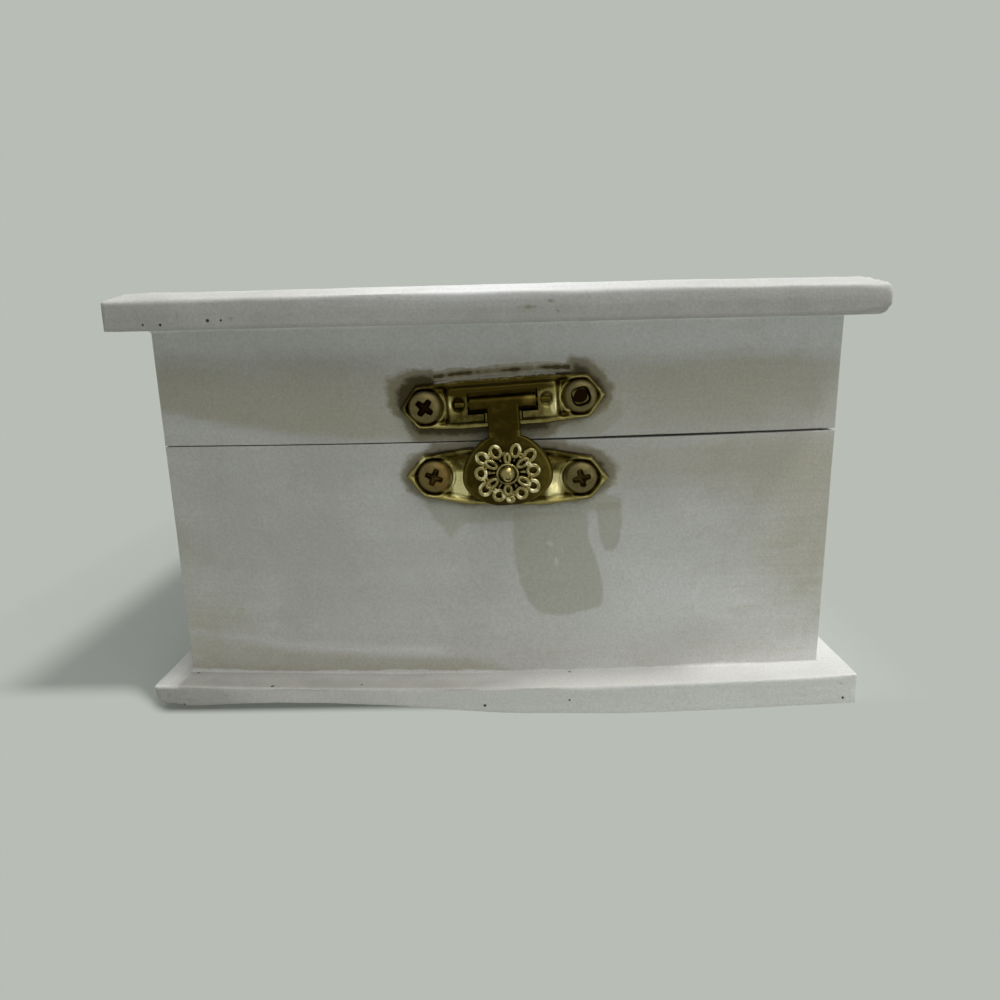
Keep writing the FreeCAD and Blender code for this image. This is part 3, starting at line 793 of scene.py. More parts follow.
hasp = {"x": 0.8, "z": 45.25, "tilt": 3.0}
catch = {"x": 1.3, "z": 34.65, "tilt": -1.5}


def onFront(points, where):
    # (u, v, w) turned by the tilt in the wall's plane and stood w before the bow's apex
    u, v, w = np.moveaxis(np.asarray(points, float), -1, 0)
    c, s = math.cos(math.radians(where["tilt"])), math.sin(math.radians(where["tilt"]))
    return np.stack([where["x"] + u * c - v * s, box["frontApex"] - w, where["z"] + u * s + v * c], -1)


def toHaspFrame(points, where):
    # the way back: (x, y, z) to (u, v, w)
    x, y, z = points.T
    c, s = math.cos(math.radians(where["tilt"])), math.sin(math.radians(where["tilt"]))
    dx, dz = x - where["x"], z - where["z"]
    return np.stack([dx * c + dz * s, dz * c - dx * s, box["frontApex"] - y], -1)


plate = {
    "length": 28.8,
    "shoulder": 11.9,
    "endHalf": 3.1,
    "mid": 5.6,
    "haspHalf": 3.5,
    "catchHalf": 4.1,
    "rimHeight": 0.35,
    "haspFloor": 0.8,
    "catchFloor": 0.7,
    "bridgeHalf": 8.2,
    "bridgeRise": 2.9,
    "bridgeFront": 2.0,
    "windowHalf": 4.7,
    "windowTop": 1.45,
    "windowFoot": -1.25,
    "notchHalf": 2.55,
    "notchFloor": 1.36,
    "haspScrewHalf": 10.75,
    "catchScrewHalf": 10.35,
    "pinBevel": 0.06,        # rounding of the hasp pin's ends
    "smearFrom": -9.2,       # old paint on the lid's plate: from here to there along its top edge
    "smearTo": 7.6,
}


def plateHalf(u, midHalf):
    # half height of the plate's outline at u: middle, slope to the shoulder, pointed end
    places = [0, plate["mid"], plate["shoulder"], plate["length"] / 2]
    return np.interp(np.abs(u), places, [midHalf, midHalf, plate["endHalf"], 0.0])


def edgeDistance(u, v, midHalf):
    # distance to the nearest of the outline's three lines in one quarter
    u, v = np.abs(u), np.abs(v)
    shoulder = (plate["shoulder"], plate["endHalf"])
    corners = [(0, midHalf), (plate["mid"], midHalf), shoulder, (plate["length"] / 2, 0)]
    best = np.full(u.shape, 99.0)
    for (u0, v0), (u1, v1) in zip(corners, corners[1:]):
        t = np.clip(((u - u0) * (u1 - u0) + (v - v0) * (v1 - v0)) / ((u1 - u0) ** 2 + (v1 - v0) ** 2), 0, 1)
        best = np.minimum(best, np.hypot(u - u0 - t * (u1 - u0), v - v0 - t * (v1 - v0)))
    return best


def denseSteps(low, high, count, centres, width):
    # places from low to high, closer together near the centres: a bumpy density's running sum, turned round
    x = np.linspace(low, high, 4000)
    density = 1 + 3.5 * np.exp(-(((x[:, None] - np.array(centres)) / width) ** 2)).sum(1)
    total = np.concatenate([[0], np.cumsum((density[1:] + density[:-1]) / 2)])
    return np.interp(np.linspace(0, total[-1], count), total, x)


def plateGrid(midHalf):
    half = plate["length"] / 2 - 0.02
    u = denseSteps(-half, half, 300, (-14.2, -8, -4.8, -2.5, 2.5, 4.8, 8, 14.2), 0.35)
    dense = (-0.95, -2.7 / midHalf, -1.5 / midHalf, 1.5 / midHalf, 2.7 / midHalf, 0.95)
    share = denseSteps(-1, 1, 92, dense, 0.06)
    u, share = np.meshgrid(u, share, indexing="ij")
    return u, share * plateHalf(u, midHalf)


def rimProfile(d):
    # rolled edge: up from the wall, a rounded ridge, then a shallow groove inside it
    ridge = np.sqrt(np.clip(1 - (1 - np.clip(d / 0.38, 0, 1)) ** 2, 0, 1))
    fall = smooth(0.45, 0.95, d)
    groove = np.exp(-(((d - 1.15) / 0.28) ** 2))
    return ridge, fall, groove


def haspPlateHeight(u, v):
    # floor, rolled rim, dished screw seats, a raised bridge with a window, and a notch for the neck
    d = edgeDistance(u, v, plate["haspHalf"])
    ridge, fall, groove = rimProfile(d)
    w = (plate["haspFloor"] + plate["rimHeight"] * (1 - fall)) * ridge - 0.2 * groove
    seat = np.hypot(np.abs(u) - plate["haspScrewHalf"], v)
    collar = np.exp(-(((seat - 2.75) / 0.26) ** 2)) * smooth(0, 0.5, d)
    w = w + 0.3 * collar
    endways = smooth(plate["bridgeHalf"], plate["bridgeHalf"] - 1.1, np.abs(u))
    upways = smooth(plate["bridgeRise"] + 0.25, plate["bridgeRise"] - 0.75, np.abs(v))
    bridge = endways * upways
    crown = plate["bridgeFront"] - 0.3 * (v / plate["bridgeRise"]) ** 2
    dimple = np.exp(-((np.hypot(np.abs(u) - 6.1, (v - 0.1) * 0.85) / 0.85) ** 4))
    w = w + (crown - 0.75 * dimple - w) * bridge
    window = smooth(plate["windowHalf"] + 0.14, plate["windowHalf"] - 0.02, np.abs(u))
    window = window * smooth(plate["windowTop"] + 0.14, plate["windowTop"] - 0.02, v)
    window = window * smooth(plate["windowFoot"] - 0.14, plate["windowFoot"] + 0.02, v)
    w = w + (0.12 - w) * window
    notch = smooth(plate["notchHalf"] + 0.16, plate["notchHalf"] - 0.02, np.abs(u)) * smooth(0.1, -0.1, v)
    w = np.where(notch > 0, np.minimum(w, w + (plate["notchFloor"] - w) * notch), w)
    # rubbed bright on rim and collars, brown above the window and in the hollows; painted highlights on the
    # bridge's ends and towards its right, painted shade in its left dimple and inside the window
    rubbed = 0.35 - 0.3 * smooth(-8, -11.5, u) - 0.3 * smooth(8, 10, u) * smooth(0, 1.6, v)
    bright = 0.42 + rubbed * (1 - fall) * ridge - 0.45 * groove + 0.35 * collar
    bright = bright - 0.5 * smooth(1.2, 2.2, v) * smooth(10.0, 8.5, np.abs(u))
    leftEnd = smooth(-11.6, -13.2, u) * smooth(-1.4, 0.2, v)
    bright = bright - 0.55 * leftEnd - 0.5 * smooth(-7.5, -9.5, u) * smooth(0.5, 2.2, v)
    # painted highlights at the bridge's two ends, and a small one above its left end
    ends = blob(u, v, -7.2, 0.2, 0.45, 1.1) + 1.2 * blob(u, v, 6.95, -0.8, 0.4, 1.0)
    ends = ends + 0.8 * blob(u, v, -8.5, 1.5, 0.4, 0.5)
    # on the bridge: painted highlight towards its right end, brown along its top, a little darker towards the
    # left
    onBridge = 0.42 + 0.5 * smooth(4.6, 7.0, u) - 0.6 * smooth(0.9, 1.9, v)
    onBridge = onBridge - 0.12 * smooth(-2, -5, u) + 1.3 * ends
    # painted shade in the left dimple
    bright = bright + (onBridge - 0.8 * dimple * smooth(1, -1, u) - bright) * bridge
    # painted shade inside the window
    return w, d, bright * (1 - window)


def catchPlateHeight(u, v):
    # floor, rolled rim, a swelling towards the middle with hollow flanks, and the nose
    d = edgeDistance(u, v, plate["catchHalf"])
    ridge, fall, groove = rimProfile(d)
    w = (plate["catchFloor"] + plate["rimHeight"] * (1 - fall)) * ridge - 0.18 * groove
    swell = smooth(8.1, 5.4, np.abs(u)) * smooth(0.35, 1.5, d)
    w = w + 0.45 * swell
    scoop = np.exp(-(((np.abs(u) - 7.3) / 1.15) ** 2) - ((v + 0.5) / 1.9) ** 2)
    w = w - 0.42 * scoop
    seat = np.hypot(np.abs(u) - plate["catchScrewHalf"], v)
    collar = np.exp(-(((seat - 2.8) / 0.28) ** 2)) * smooth(0, 0.5, d)
    w = w + 0.25 * collar
    nose = smooth(2.2, 1.3, np.hypot(u, v))
    w = w + (1.33 - w) * nose
    # painted reflection on the hollow flanks, stronger on the left one
    flankReflection = smooth(4.9, 6.2, np.abs(u)) * smooth(8.4, 7.0, np.abs(u))
    flankReflection = flankReflection * smooth(1.2, 0.2, v) * smooth(-3.6, -2.4, v)
    rubbed = 0.45 - 0.5 * smooth(1.4, 2.4, v) * smooth(12.2, 10.8, np.abs(u))
    bright = 0.36 + rubbed * (1 - fall) * ridge - 0.45 * groove + 0.3 * collar
    # a painted glint on the rim's upper left corner
    bright = bright + 2.2 * blob(u, v, -12.1, 2.55, 0.45, 0.4)
    return w, d, bright + (np.where(u < 0, 2.3, 1.85) - bright) * flankReflection


def coatBrass(piece, material, wearAndHighlight, overpaint=-2.0, rust=0.0):
    # what the brass reads at each point: its wear where it stands proud, with painted highlights, glints and
    # reflections, old paint over it, and rust
    for name, value in {"wearAndHighlight": wearAndHighlight, "overpaint": overpaint, "rust": rust}.items():
        paintValue(piece, name, value)
    piece.data.materials.append(material)


def makePlate(name, node, where, midHalf, heightOf, body, material):
    u, v = plateGrid(midHalf)
    w, d, _ = heightOf(u, v)
    grid = np.stack([u, v, w], -1)
    uneven = 0.03 * wobble(grid.reshape(-1, 3), 2.4, 5).reshape(u.shape)
    points, faces = slab(u, v, np.maximum(w + uneven * smooth(0.2, 0.6, d), 0.02), -0.03)
    piece = newPiece(name, onFront(points, where), faces, 60)
    # wear, painted highlights and painted shade come from the height's own formula, the smear of paint from
    # closeness to the top edge
    u, v, _ = toHaspFrame(meshPoints(piece), where).T
    _, d, wearAndHighlight = heightOf(u, v)
    overpaint = -2.0
    if body == "lid":
        along = np.minimum(u - plate["smearFrom"], plate["smearTo"] - u)
        overpaint = np.minimum(np.where(v > 0, 0.22 - d, -2.0), along * 0.6)
    coatBrass(piece, material, wearAndHighlight, overpaint)
    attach(piece, body)
    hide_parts(node)


tongue = {
    "neckHalf": 2.25,
    "neckEnd": 4.7,          # lengths down from the pin
    "widest": 6.35,
    "widestAt": 10.4,
    "length": 14.5,
    "back": 1.65,
    "thickness": 0.6,
    "crown": 0.5,            # how far the bell swells in front
    "flange": 1.35,          # depth at which its edge ends
    "knuckle": 1.0,
    "knuckleHalf": 4.65,
    "pinOut": 1.25,
}


def bellHalf(s):
    # half width down the tongue: the neck, a flare by a sine's power, then a quarter ellipse for the foot
    flare = np.clip((s - tongue["neckEnd"]) / (tongue["widestAt"] - tongue["neckEnd"]), 0, 1)
    upper = tongue["neckHalf"] + (tongue["widest"] - tongue["neckHalf"]) * np.sin(flare * math.pi / 2) ** 0.65
    foot = np.clip((s - tongue["widestAt"]) / (tongue["length"] - tongue["widestAt"]), 0, 1)
    return upper * np.sqrt(np.clip(1 - foot ** 2, 0, 1))


def makeTongue(material):
    # strap and bell as one pressed sheet: its front swells in the middle and rolls back at the edge
    neckEnd, widestAt = tongue["neckEnd"], tongue["widestAt"]
    foot = np.sin(np.linspace(0, math.pi / 2, 44)) * (tongue["length"] - widestAt) + widestAt
    s = np.concatenate([np.linspace(0.0, neckEnd, 22)[:-1], np.linspace(neckEnd, widestAt, 56)[:-1], foot])
    t = np.sin(np.linspace(-1, 1, 71) * math.pi / 2)
    s, t = np.meshgrid(s, t, indexing="ij")
    u = t * bellHalf(s)
    inBell = smooth(3.6, 6.4, s)
    rim = np.minimum(bellHalf(s) * (1 - np.abs(t)), tongue["length"] - s)
    rise = tongue["crown"] * np.clip(1 - (u / 6.2) ** 2 - ((s - 9.7) / 5.6) ** 2, 0, 1)
    front = tongue["back"] + tongue["thickness"] + inBell * (rise * 0.45 - 0.02)
    roll = np.sqrt(np.clip(1 - (1 - np.clip(rim / 0.55, 0, 1)) ** 2, 0, 1))
    edge = tongue["back"] + (tongue["flange"] - tongue["back"]) * inBell + 0.12
    frontFace = edge + (front - edge) * roll
    backFace = np.minimum(front - tongue["thickness"], tongue["back"])
    hollow = smooth(0.5, 1.1, rim) * inBell
    flat = edge - 0.12
    backFace = flat + (backFace - flat) * np.where(s > neckEnd, hollow, 0)
    top = np.stack([u, -s, frontFace], -1)[::-1]
    bottom = np.stack([u, -s, np.minimum(backFace, frontFace - 0.05)], -1)[::-1]
    # rows run up the tongue, so that rows, then columns, face outwards once recalculated
    shell = relief(top, bottom)
    # rolled knuckle with rounded ends: radius falls over the last bit of its length
    along = np.linspace(-1, 1, 81)[:, None]
    around = np.linspace(0, 2 * math.pi, 49)[None, :-1]
    endFall = np.sqrt(np.clip(1 - np.clip((np.abs(along) - 0.965) / 0.035, 0, 1) ** 2, 0, 1))
    radius = tongue["knuckle"] * (0.55 + 0.45 * endFall) + 0 * around
    knuckle = np.stack([along * tongue["knuckleHalf"] + 0 * around, radius * np.sin(around),
                        tongue["pinOut"] + radius * np.cos(around)], -1)
    ends = knuckle[[0, -1]].mean(1, keepdims=True)
    knuckle = np.concatenate([np.broadcast_to(ends[:1], knuckle[:1].shape), knuckle,
                              np.broadcast_to(ends[1:], knuckle[:1].shape)])
    knuckleShell = knuckle.reshape(-1, 3), gridFaces(*knuckle.shape[:2], wrapColumns=True)
    points, faces = joined([shell, knuckleShell])
    piece = newPiece("pressed_hasp_tongue", onFront(points, hasp), faces, 60)
    u, v, _ = toHaspFrame(meshPoints(piece), hasp).T
    # painted highlights along the bell's rim and towards its right, and at one end of the knuckle
    bell = 0.75 - 0.5 * smooth(0.2, 0.9, bellHalf(-v) - np.abs(u)) + 0.3 * smooth(1.5, 5, u)
    coatBrass(piece, material, np.where(v < -4, bell, 0.23) + 1.45 * blob(u, v, 3.75, 0.4, 0.75, 0.55))
    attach(piece, "tongue")
    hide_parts("hasp_tongue")


rosette = {
    "down": 9.6,             # its centre below the pin
    "seat": 2.2,
    "disc": 3.1,
    "discTop": 2.75,
    # outer rings: right, up, half width, half height, turn
    "loops": [(3.55, 0.1, 1.12, 1.08, 0), (3.2, 2.2, 1.0, 1.22, -42), (1.3, 2.95, 0.92, 1.22, -14),
              (-1.45, 2.95, 1.02, 1.22, 24), (-3.3, 2.2, 1.02, 1.2, 42), (-3.65, 0.15, 1.05, 1.12, 0),
              (-3.2, -2.1, 1.08, 1.16, -40), (-1.4, -3.05, 1.05, 1.06, -14), (0.2, -3.75, 0.76, 0.66, 0),
              (1.75, -2.95, 1.05, 1.08, 24), (3.4, -2.05, 1.1, 1.16, 46)],
    "loopTube": 0.36,
    "linkIn": 0.88,          # a link sits between two rings, at this share of their distance out
    "linkHalf": (0.62, 0.44),
    "linkTube": 0.22,
    # inner scrolls, which join the outer rings to the middle
    "scrolls": [(2.2, 1.3, 0.72, 1.15, -58), (0.1, 2.05, 0.62, 0.95, 0), (-2.15, 1.35, 0.72, 1.1, 58),
                (-2.2, -1.3, 0.75, 1.15, -58), (-0.1, -2.35, 0.75, 0.95, 0), (2.2, -1.3, 0.75, 1.15, 58)],
    "scrollTube": 0.31,
    "dome": 1.2,
    "domeTop": 4.5,
    "domeFoot": 3.35,
    "stem": 0.55,
    "stemFoot": 1.7,
}


def ringShells(rings, tube, w, lift):
    # oval tori: points at (half + tube cos b)(cos a, sin a), turned and placed, w + lift tube sin b
    rings = np.array(rings, float)[:, :, None, None]
    x0, y0, halfU, halfV, turn = np.moveaxis(rings, 1, 0)
    a = np.linspace(0, 2 * math.pi, 33)[:-1][None, :, None]
    b = np.linspace(0, 2 * math.pi, 15)[:-1][None, None, :]
    u = (halfU - tube + tube * np.cos(b)) * np.cos(a)
    v = (halfV - tube + tube * np.cos(b)) * np.sin(a)
    c, s = np.cos(np.radians(turn)), np.sin(np.radians(turn))
    height = w + lift * tube * np.sin(b) + 0 * a + 0 * x0
    points = np.stack([x0 + u * c - v * s, y0 + u * s + v * c, height], -1)
    return [(ring.reshape(-1, 3), gridFaces(32, 14, wrapRows=True, wrapColumns=True)) for ring in points]


def discGrid(count, radius):
    # square grid bent to a disc: x = a sqrt(1 - b2/2), y = b sqrt(1 - a2/2), closer cells near the edge
    a = np.sin(np.linspace(-1, 1, count) * math.pi / 2)
    a, b = np.meshgrid(a, a, indexing="ij")
    return radius * a * np.sqrt(1 - b * b / 2), radius * b * np.sqrt(1 - a * a / 2)


def makeRosette(material):
    u, v = discGrid(61, rosette["disc"])
    r, angle = np.hypot(u, v), np.arctan2(v, u)
    # disc pressed into leaves: twelve soft ribs between the inner rings
    ribs = 0.5 + 0.5 * np.cos(12 * angle + 0.5)
    w = rosette["discTop"] - 0.3 + 0.3 * ribs * smooth(0.8, 2.0, r) * smooth(3.6, 2.8, r)
    w = rosette["seat"] + (w - rosette["seat"]) * np.sqrt(np.clip(1 - (r / rosette["disc"]) ** 8, 0, 1))
    shells = [slab(u, v, w, rosette["seat"])]
    shells += ringShells(rosette["loops"], rosette["loopTube"], rosette["seat"] + 0.42, 1.3)
    shells += ringShells(rosette["scrolls"], rosette["scrollTube"], rosette["seat"] + 0.75, 1.6)
    middle = np.array(rosette["loops"])[:, :2]
    joints = rosette["linkIn"] * (middle + np.roll(middle, -1, 0)) / 2
    turns = np.degrees(np.arctan2(joints[:, 1], joints[:, 0])) + 90
    links = [(x, y, *rosette["linkHalf"], turn) for (x, y), turn in zip(joints, turns)]
    shells += ringShells(links, rosette["linkTube"], rosette["seat"] + 0.5, 1.5)
    # a collar under the dome
    shells += ringShells([(0, -0.1, 1.62, 1.55, 0)], 0.24, rosette["seat"] + 0.95, 1.3)
    points, faces = joined(shells)
    points = points - [0, rosette["down"], 0]
    piece = newPiece("openwork_rosette", onFront(points, hasp), faces, 60)
    local = toHaspFrame(meshPoints(piece), hasp)
    # painted glints in random spots, stronger on the outer rings, which are also lighter; dull in the depths
    spots = 1.1 * smooth(0.1, 0.9, wobble(local * [1, 1, 0], 1.7, 151, 14))
    outer = smooth(2.3, 3.0, np.hypot(local[:, 0], local[:, 1] + rosette["down"]))
    wearAndGlints = 0.62 + 0.3 * outer + spots * (0.4 + 0.6 * outer)
    coatBrass(piece, material, smooth(2.45, 2.85, local[:, 2]) * wearAndGlints)
    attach(piece, "tongue")
    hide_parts("rosette")


def makeRivet(material):
    # domed head: height falls as the square root of 1 - r squared, on a short stem
    u, v = discGrid(41, rosette["dome"])
    share = np.clip(1 - (u * u + v * v) / rosette["dome"] ** 2, 0, 1)
    low, high = rosette["domeFoot"] - 0.35, rosette["domeTop"]
    dome = slab(u, v, low + (high - low) * share ** 0.5, low)
    u, v = discGrid(17, rosette["stem"])
    stem = slab(u, v, low + 0.1, rosette["stemFoot"])
    # small ring on the dome's lower side
    smallRing = ringShells([(0.0, -0.45, 0.62, 0.56, 0)], 0.13, 4.28, 1.0)
    points, faces = joined([dome, stem] + smallRing)
    points = points - [0, rosette["down"], 0]
    piece = newPiece("domed_rosette_rivet", onFront(points, hasp), faces, 60)
    coatBrass(piece, material, smooth(2.9, 4.4, toHaspFrame(meshPoints(piece), hasp)[:, 2]))
    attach(piece, "tongue")
    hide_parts("rosette_rivet")


screws = {
    "radius": 2.33,
    "height": 1.15,
    "armHalf": 0.42,         # half width of the cross's arms
    "reach": 1.2,
    "depth": 0.95,
    "shank": 0.95,
    "shankLength": 7.0,
    "pitch": 1.1,
    "thread": 0.14,
    "smallRadius": 1.28,
    "smallHeight": 0.68,
    "smallShank": 0.7,
    "smallLength": 4.8,
    "smallRust": 0.15,
}


def panDome(r, radius, height):
    # a pan head's height at r from its middle, before it drops off at its rim
    return height * (0.30 + 0.70 * (1 - (r / radius) ** 2.4))


def screwShells(radius, height, shank, length, turn, worn, seat):
    # pan head with a cross sunk in it; worn opens the cross to a round pit
    u, v = discGrid(71, radius)
    r = np.hypot(u, v)
    dome = panDome(r, radius, height) * np.clip(1 - (r / radius) ** 14, 0, 1) ** 0.5
    c, s = math.cos(math.radians(turn)), math.sin(math.radians(turn))
    a, b = np.abs(u * c + v * s), np.abs(v * c - u * s)
    scale = radius / screws["radius"]
    arm, reach = screws["armHalf"] * scale, screws["reach"] * scale
    soft = 0.13 * scale
    # an arm narrows towards its end
    armA = smooth(arm + soft, arm - soft, b + 0.12 * a) * smooth(reach + soft, reach - soft, a)
    armB = smooth(arm + soft, arm - soft, a + 0.12 * b) * smooth(reach + soft, reach - soft, b)
    cross = np.maximum(armA, armB)
    pit = smooth(1.36 * scale, 1.0 * scale, (a ** 3 + b ** 3) ** (1 / 3)) * worn
    sunk = np.maximum(cross * (1 - 0.25 * r / radius), pit * 1.1)
    top = dome - screws["depth"] * scale * sunk
    head = slab(u, v, top, -0.02)
    # threaded shank: radius rises along a helix and tapers to a point
    depth = np.linspace(0, 1, 90)[:, None]
    around = np.linspace(0, 2 * math.pi, 25)[None, :-1]
    turns = length / (screws["pitch"] * scale)
    ridge = np.abs(((depth * turns + around / (2 * math.pi)) % 1) - 0.5) * 2
    taper = np.sqrt(np.clip(1 - np.clip((depth - 0.72) / 0.28, 0, 1) ** 1.6, 0, 1))
    width = shank * (1 - screws["thread"] + screws["thread"] * ridge) * taper
    rod = np.stack([width * np.cos(around), width * np.sin(around), -depth * length + 0.05 + 0 * around], -1)
    rod = np.concatenate([rod, np.broadcast_to([0, 0, -length + 0.05], rod[:1].shape)])
    start = np.broadcast_to([0, 0, 0.05], rod[:1].shape)
    rod = np.concatenate([start, rod])
    shells = [head, (rod.reshape(-1, 3), gridFaces(*rod.shape[:2], wrapColumns=True))]
    return [(p + [0, 0, seat], f) for p, f in shells]


def makeHaspScrews(name, node, where, body, half, seat, turns, worn, rust, material):
    shells = []
    for side, turn, wear in zip((-1, 1), turns, worn):
        screw = screwShells(screws["radius"], screws["height"], screws["shank"], screws["shankLength"],
                            turn, wear, seat)
        shells += [(p + [side * half, 0, 0], f) for p, f in screw]
    points, faces = joined(shells)
    piece = newPiece(name, onFront(points, where), faces, 50)
    local = toHaspFrame(meshPoints(piece), where)
    left = local[:, 0] < 0
    r = np.hypot(np.abs(local[:, 0]) - half, local[:, 1])
    dome = seat + panDome(np.minimum(r, screws["radius"]), screws["radius"], screws["height"])
    rimShare = 0.5 * smooth(1.5, 2.1, r)
    onHead = 1 - smooth(0.1, 0.5, dome - local[:, 2])
    # rust creeps over the right half of a head, and into its cross
    onRight = smooth(-1.3, 1.0, local[:, 0] - np.where(left, -half, half))
    heads, crosses = (np.where(left, *pair) for pair in rust)
    rusty = heads * onHead * (0.3 + 0.7 * onRight) + crosses * (1 - onHead)
    coatBrass(piece, material, (0.75 + rimShare) * onHead, rust=rusty)
    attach(piece, body)
    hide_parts(node)


hinge = {"fromMiddle": 28.0, "screwHalf": 4.8, "screwRise": 5.6, "leaf": 0.8,
         "bevel": 0.07, "pinBevel": 0.1, "bright": 0.55}


def makeHingeScrews(name, node, body, up, material):
    # the same screw, smaller, four times on the back: u = -X, v = Z, w = +Y
    shells = []
    for k, (side, across) in enumerate((a, b) for a in (-1, 1) for b in (-1, 1)):
        small = screwShells(screws["smallRadius"], screws["smallHeight"], screws["smallShank"],
                            screws["smallLength"], 20 * k + 13 * up, 0, hinge["leaf"])
        for p, f in small:
            x = side * hinge["fromMiddle"] - across * hinge["screwHalf"] - p[:, 0]
            z = box["seam"] + up * hinge["screwRise"] + p[:, 1]
            shells.append((np.stack([x, box["back"] + p[:, 2], z], -1), f))
    points, faces = joined(shells)
    piece = newPiece(name, points, faces, 50)
    wearAndHighlight = smooth(0.9, 1.4, meshPoints(piece)[:, 1] - box["back"])
    coatBrass(piece, material, wearAndHighlight, rust=screws["smallRust"])
    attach(piece, body)
    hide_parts(node)


def softenedCopy(node, body, material, width):
    # a merged copy of the frame's own part, its edges bevelled, stands for it
    mesh = frame["nodes"][node].data.copy()
    work = bmesh.new()
    work.from_mesh(mesh)
    bmesh.ops.remove_doubles(work, verts=work.verts, dist=1e-6)
    bmesh.ops.dissolve_limit(work, angle_limit=math.radians(1), verts=work.verts, edges=work.edges)
    bmesh.ops.recalc_face_normals(work, faces=work.faces)
    corners = [edge for edge in work.edges if edge.is_convex and edge.calc_face_angle() > math.radians(40)]
    bmesh.ops.bevel(work, geom=corners, offset=width * mm, offset_type="OFFSET", segments=2, profile=0.5,
                    affect="EDGES", clamp_overlap=True)
    work.to_mesh(mesh)
    work.free()
    mesh.materials.clear()
    mesh.shade_smooth()
    mesh.set_sharp_from_angle(angle=math.radians(25))
    piece = addObject("soft_" + node, mesh)
    coatBrass(piece, material, hinge["bright"])
    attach(piece, body)
    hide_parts(node)


# bare: the near-white colour of the strongest painted highlights, glints and reflections, and of rubbed-bare
# rims
brass = {
    "plate": {"bright": (0.33, 0.275, 0.095, 1), "dull": (0.052, 0.036, 0.006, 1),
              "bare": (0.80, 0.71, 0.36, 1), "rough": 0.32},
    "tongue": {"bright": (0.125, 0.092, 0.018, 1), "dull": (0.040, 0.027, 0.004, 1),
               "bare": (0.16, 0.12, 0.03, 1), "rough": 0.36},
    "rosette": {"bright": (0.34, 0.28, 0.115, 1), "dull": (0.05, 0.036, 0.007, 1),
                "bare": (0.78, 0.70, 0.42, 1), "rough": 0.24},
    "screw": {"bright": (0.185, 0.15, 0.065, 1), "dull": (0.016, 0.008, 0.003, 1),
              "bare": (0.30, 0.26, 0.14, 1), "rough": 0.42},
    "hinge": {"bright": (0.50, 0.40, 0.17, 1), "dull": (0.20, 0.15, 0.05, 1),
              "bare": (0.62, 0.52, 0.26, 1), "rough": 0.32},
    "rust": (0.21, 0.125, 0.018, 1),
    "overpaint": (0.50, 0.48, 0.40, 1),
    "bump": 0.35,
    "bumpDepth": 0.00008,    # in metres
}


def agedBrass(name, look):
    # brass gone brown in its hollows and rubbed bright where it stands proud, with painted highlights, glints
    # and reflections, and smears of paint
    material, tree, shader = newMaterial(name)
    place = objectPlace(tree)
    patches = noise(tree, place, 0.8, 5.0, 0.62)
    fine = noise(tree, place, 5.0, 4.0, 0.6)
    worn = stepBetween(tree, plus(tree, attribute(tree, "wearAndHighlight"), swing(tree, patches, 1.3)), 0.1, 0.95)
    colour = mixColour(tree, worn, look["dull"], look["bright"])
    # near white where wear and painted highlights run highest: mostly painted glints, highlights and
    # reflections
    colour = mixColour(tree, stepBetween(tree, attribute(tree, "wearAndHighlight"), 1.0, 1.6), colour, look["bare"])
    tarnish = partBetween(tree, fine, 0.5, 0.75, 0.35)
    colour = mixColour(tree, tarnish, colour, look["dull"])
    rust = times(tree, attribute(tree, "rust"), stepBetween(tree, patches, 0.3, 0.6))
    colour = mixColour(tree, rust, colour, brass["rust"])
    spread = swing(tree, fine, 0.8)
    over = stepBetween(tree, plus(tree, attribute(tree, "overpaint"), spread), 0.0, 0.12)
    colour = mixColour(tree, over, colour, brass["overpaint"])
    tree.links.new(colour, shader.inputs["Base Color"])
    metallic = minus(tree, 1.0, maths(tree, "MAXIMUM", over, times(tree, rust, 0.5)))
    tree.links.new(metallic, shader.inputs["Metallic"])
    rough = plus(tree, times(tree, patches, 0.25), look["rough"] - 0.12)
    rough = plus(tree, rough, times(tree, over, 0.3))
    tree.links.new(rough, shader.inputs["Roughness"])
    addBump(tree, shader, plus(tree, times(tree, fine, 0.6), patches), brass)
    return material


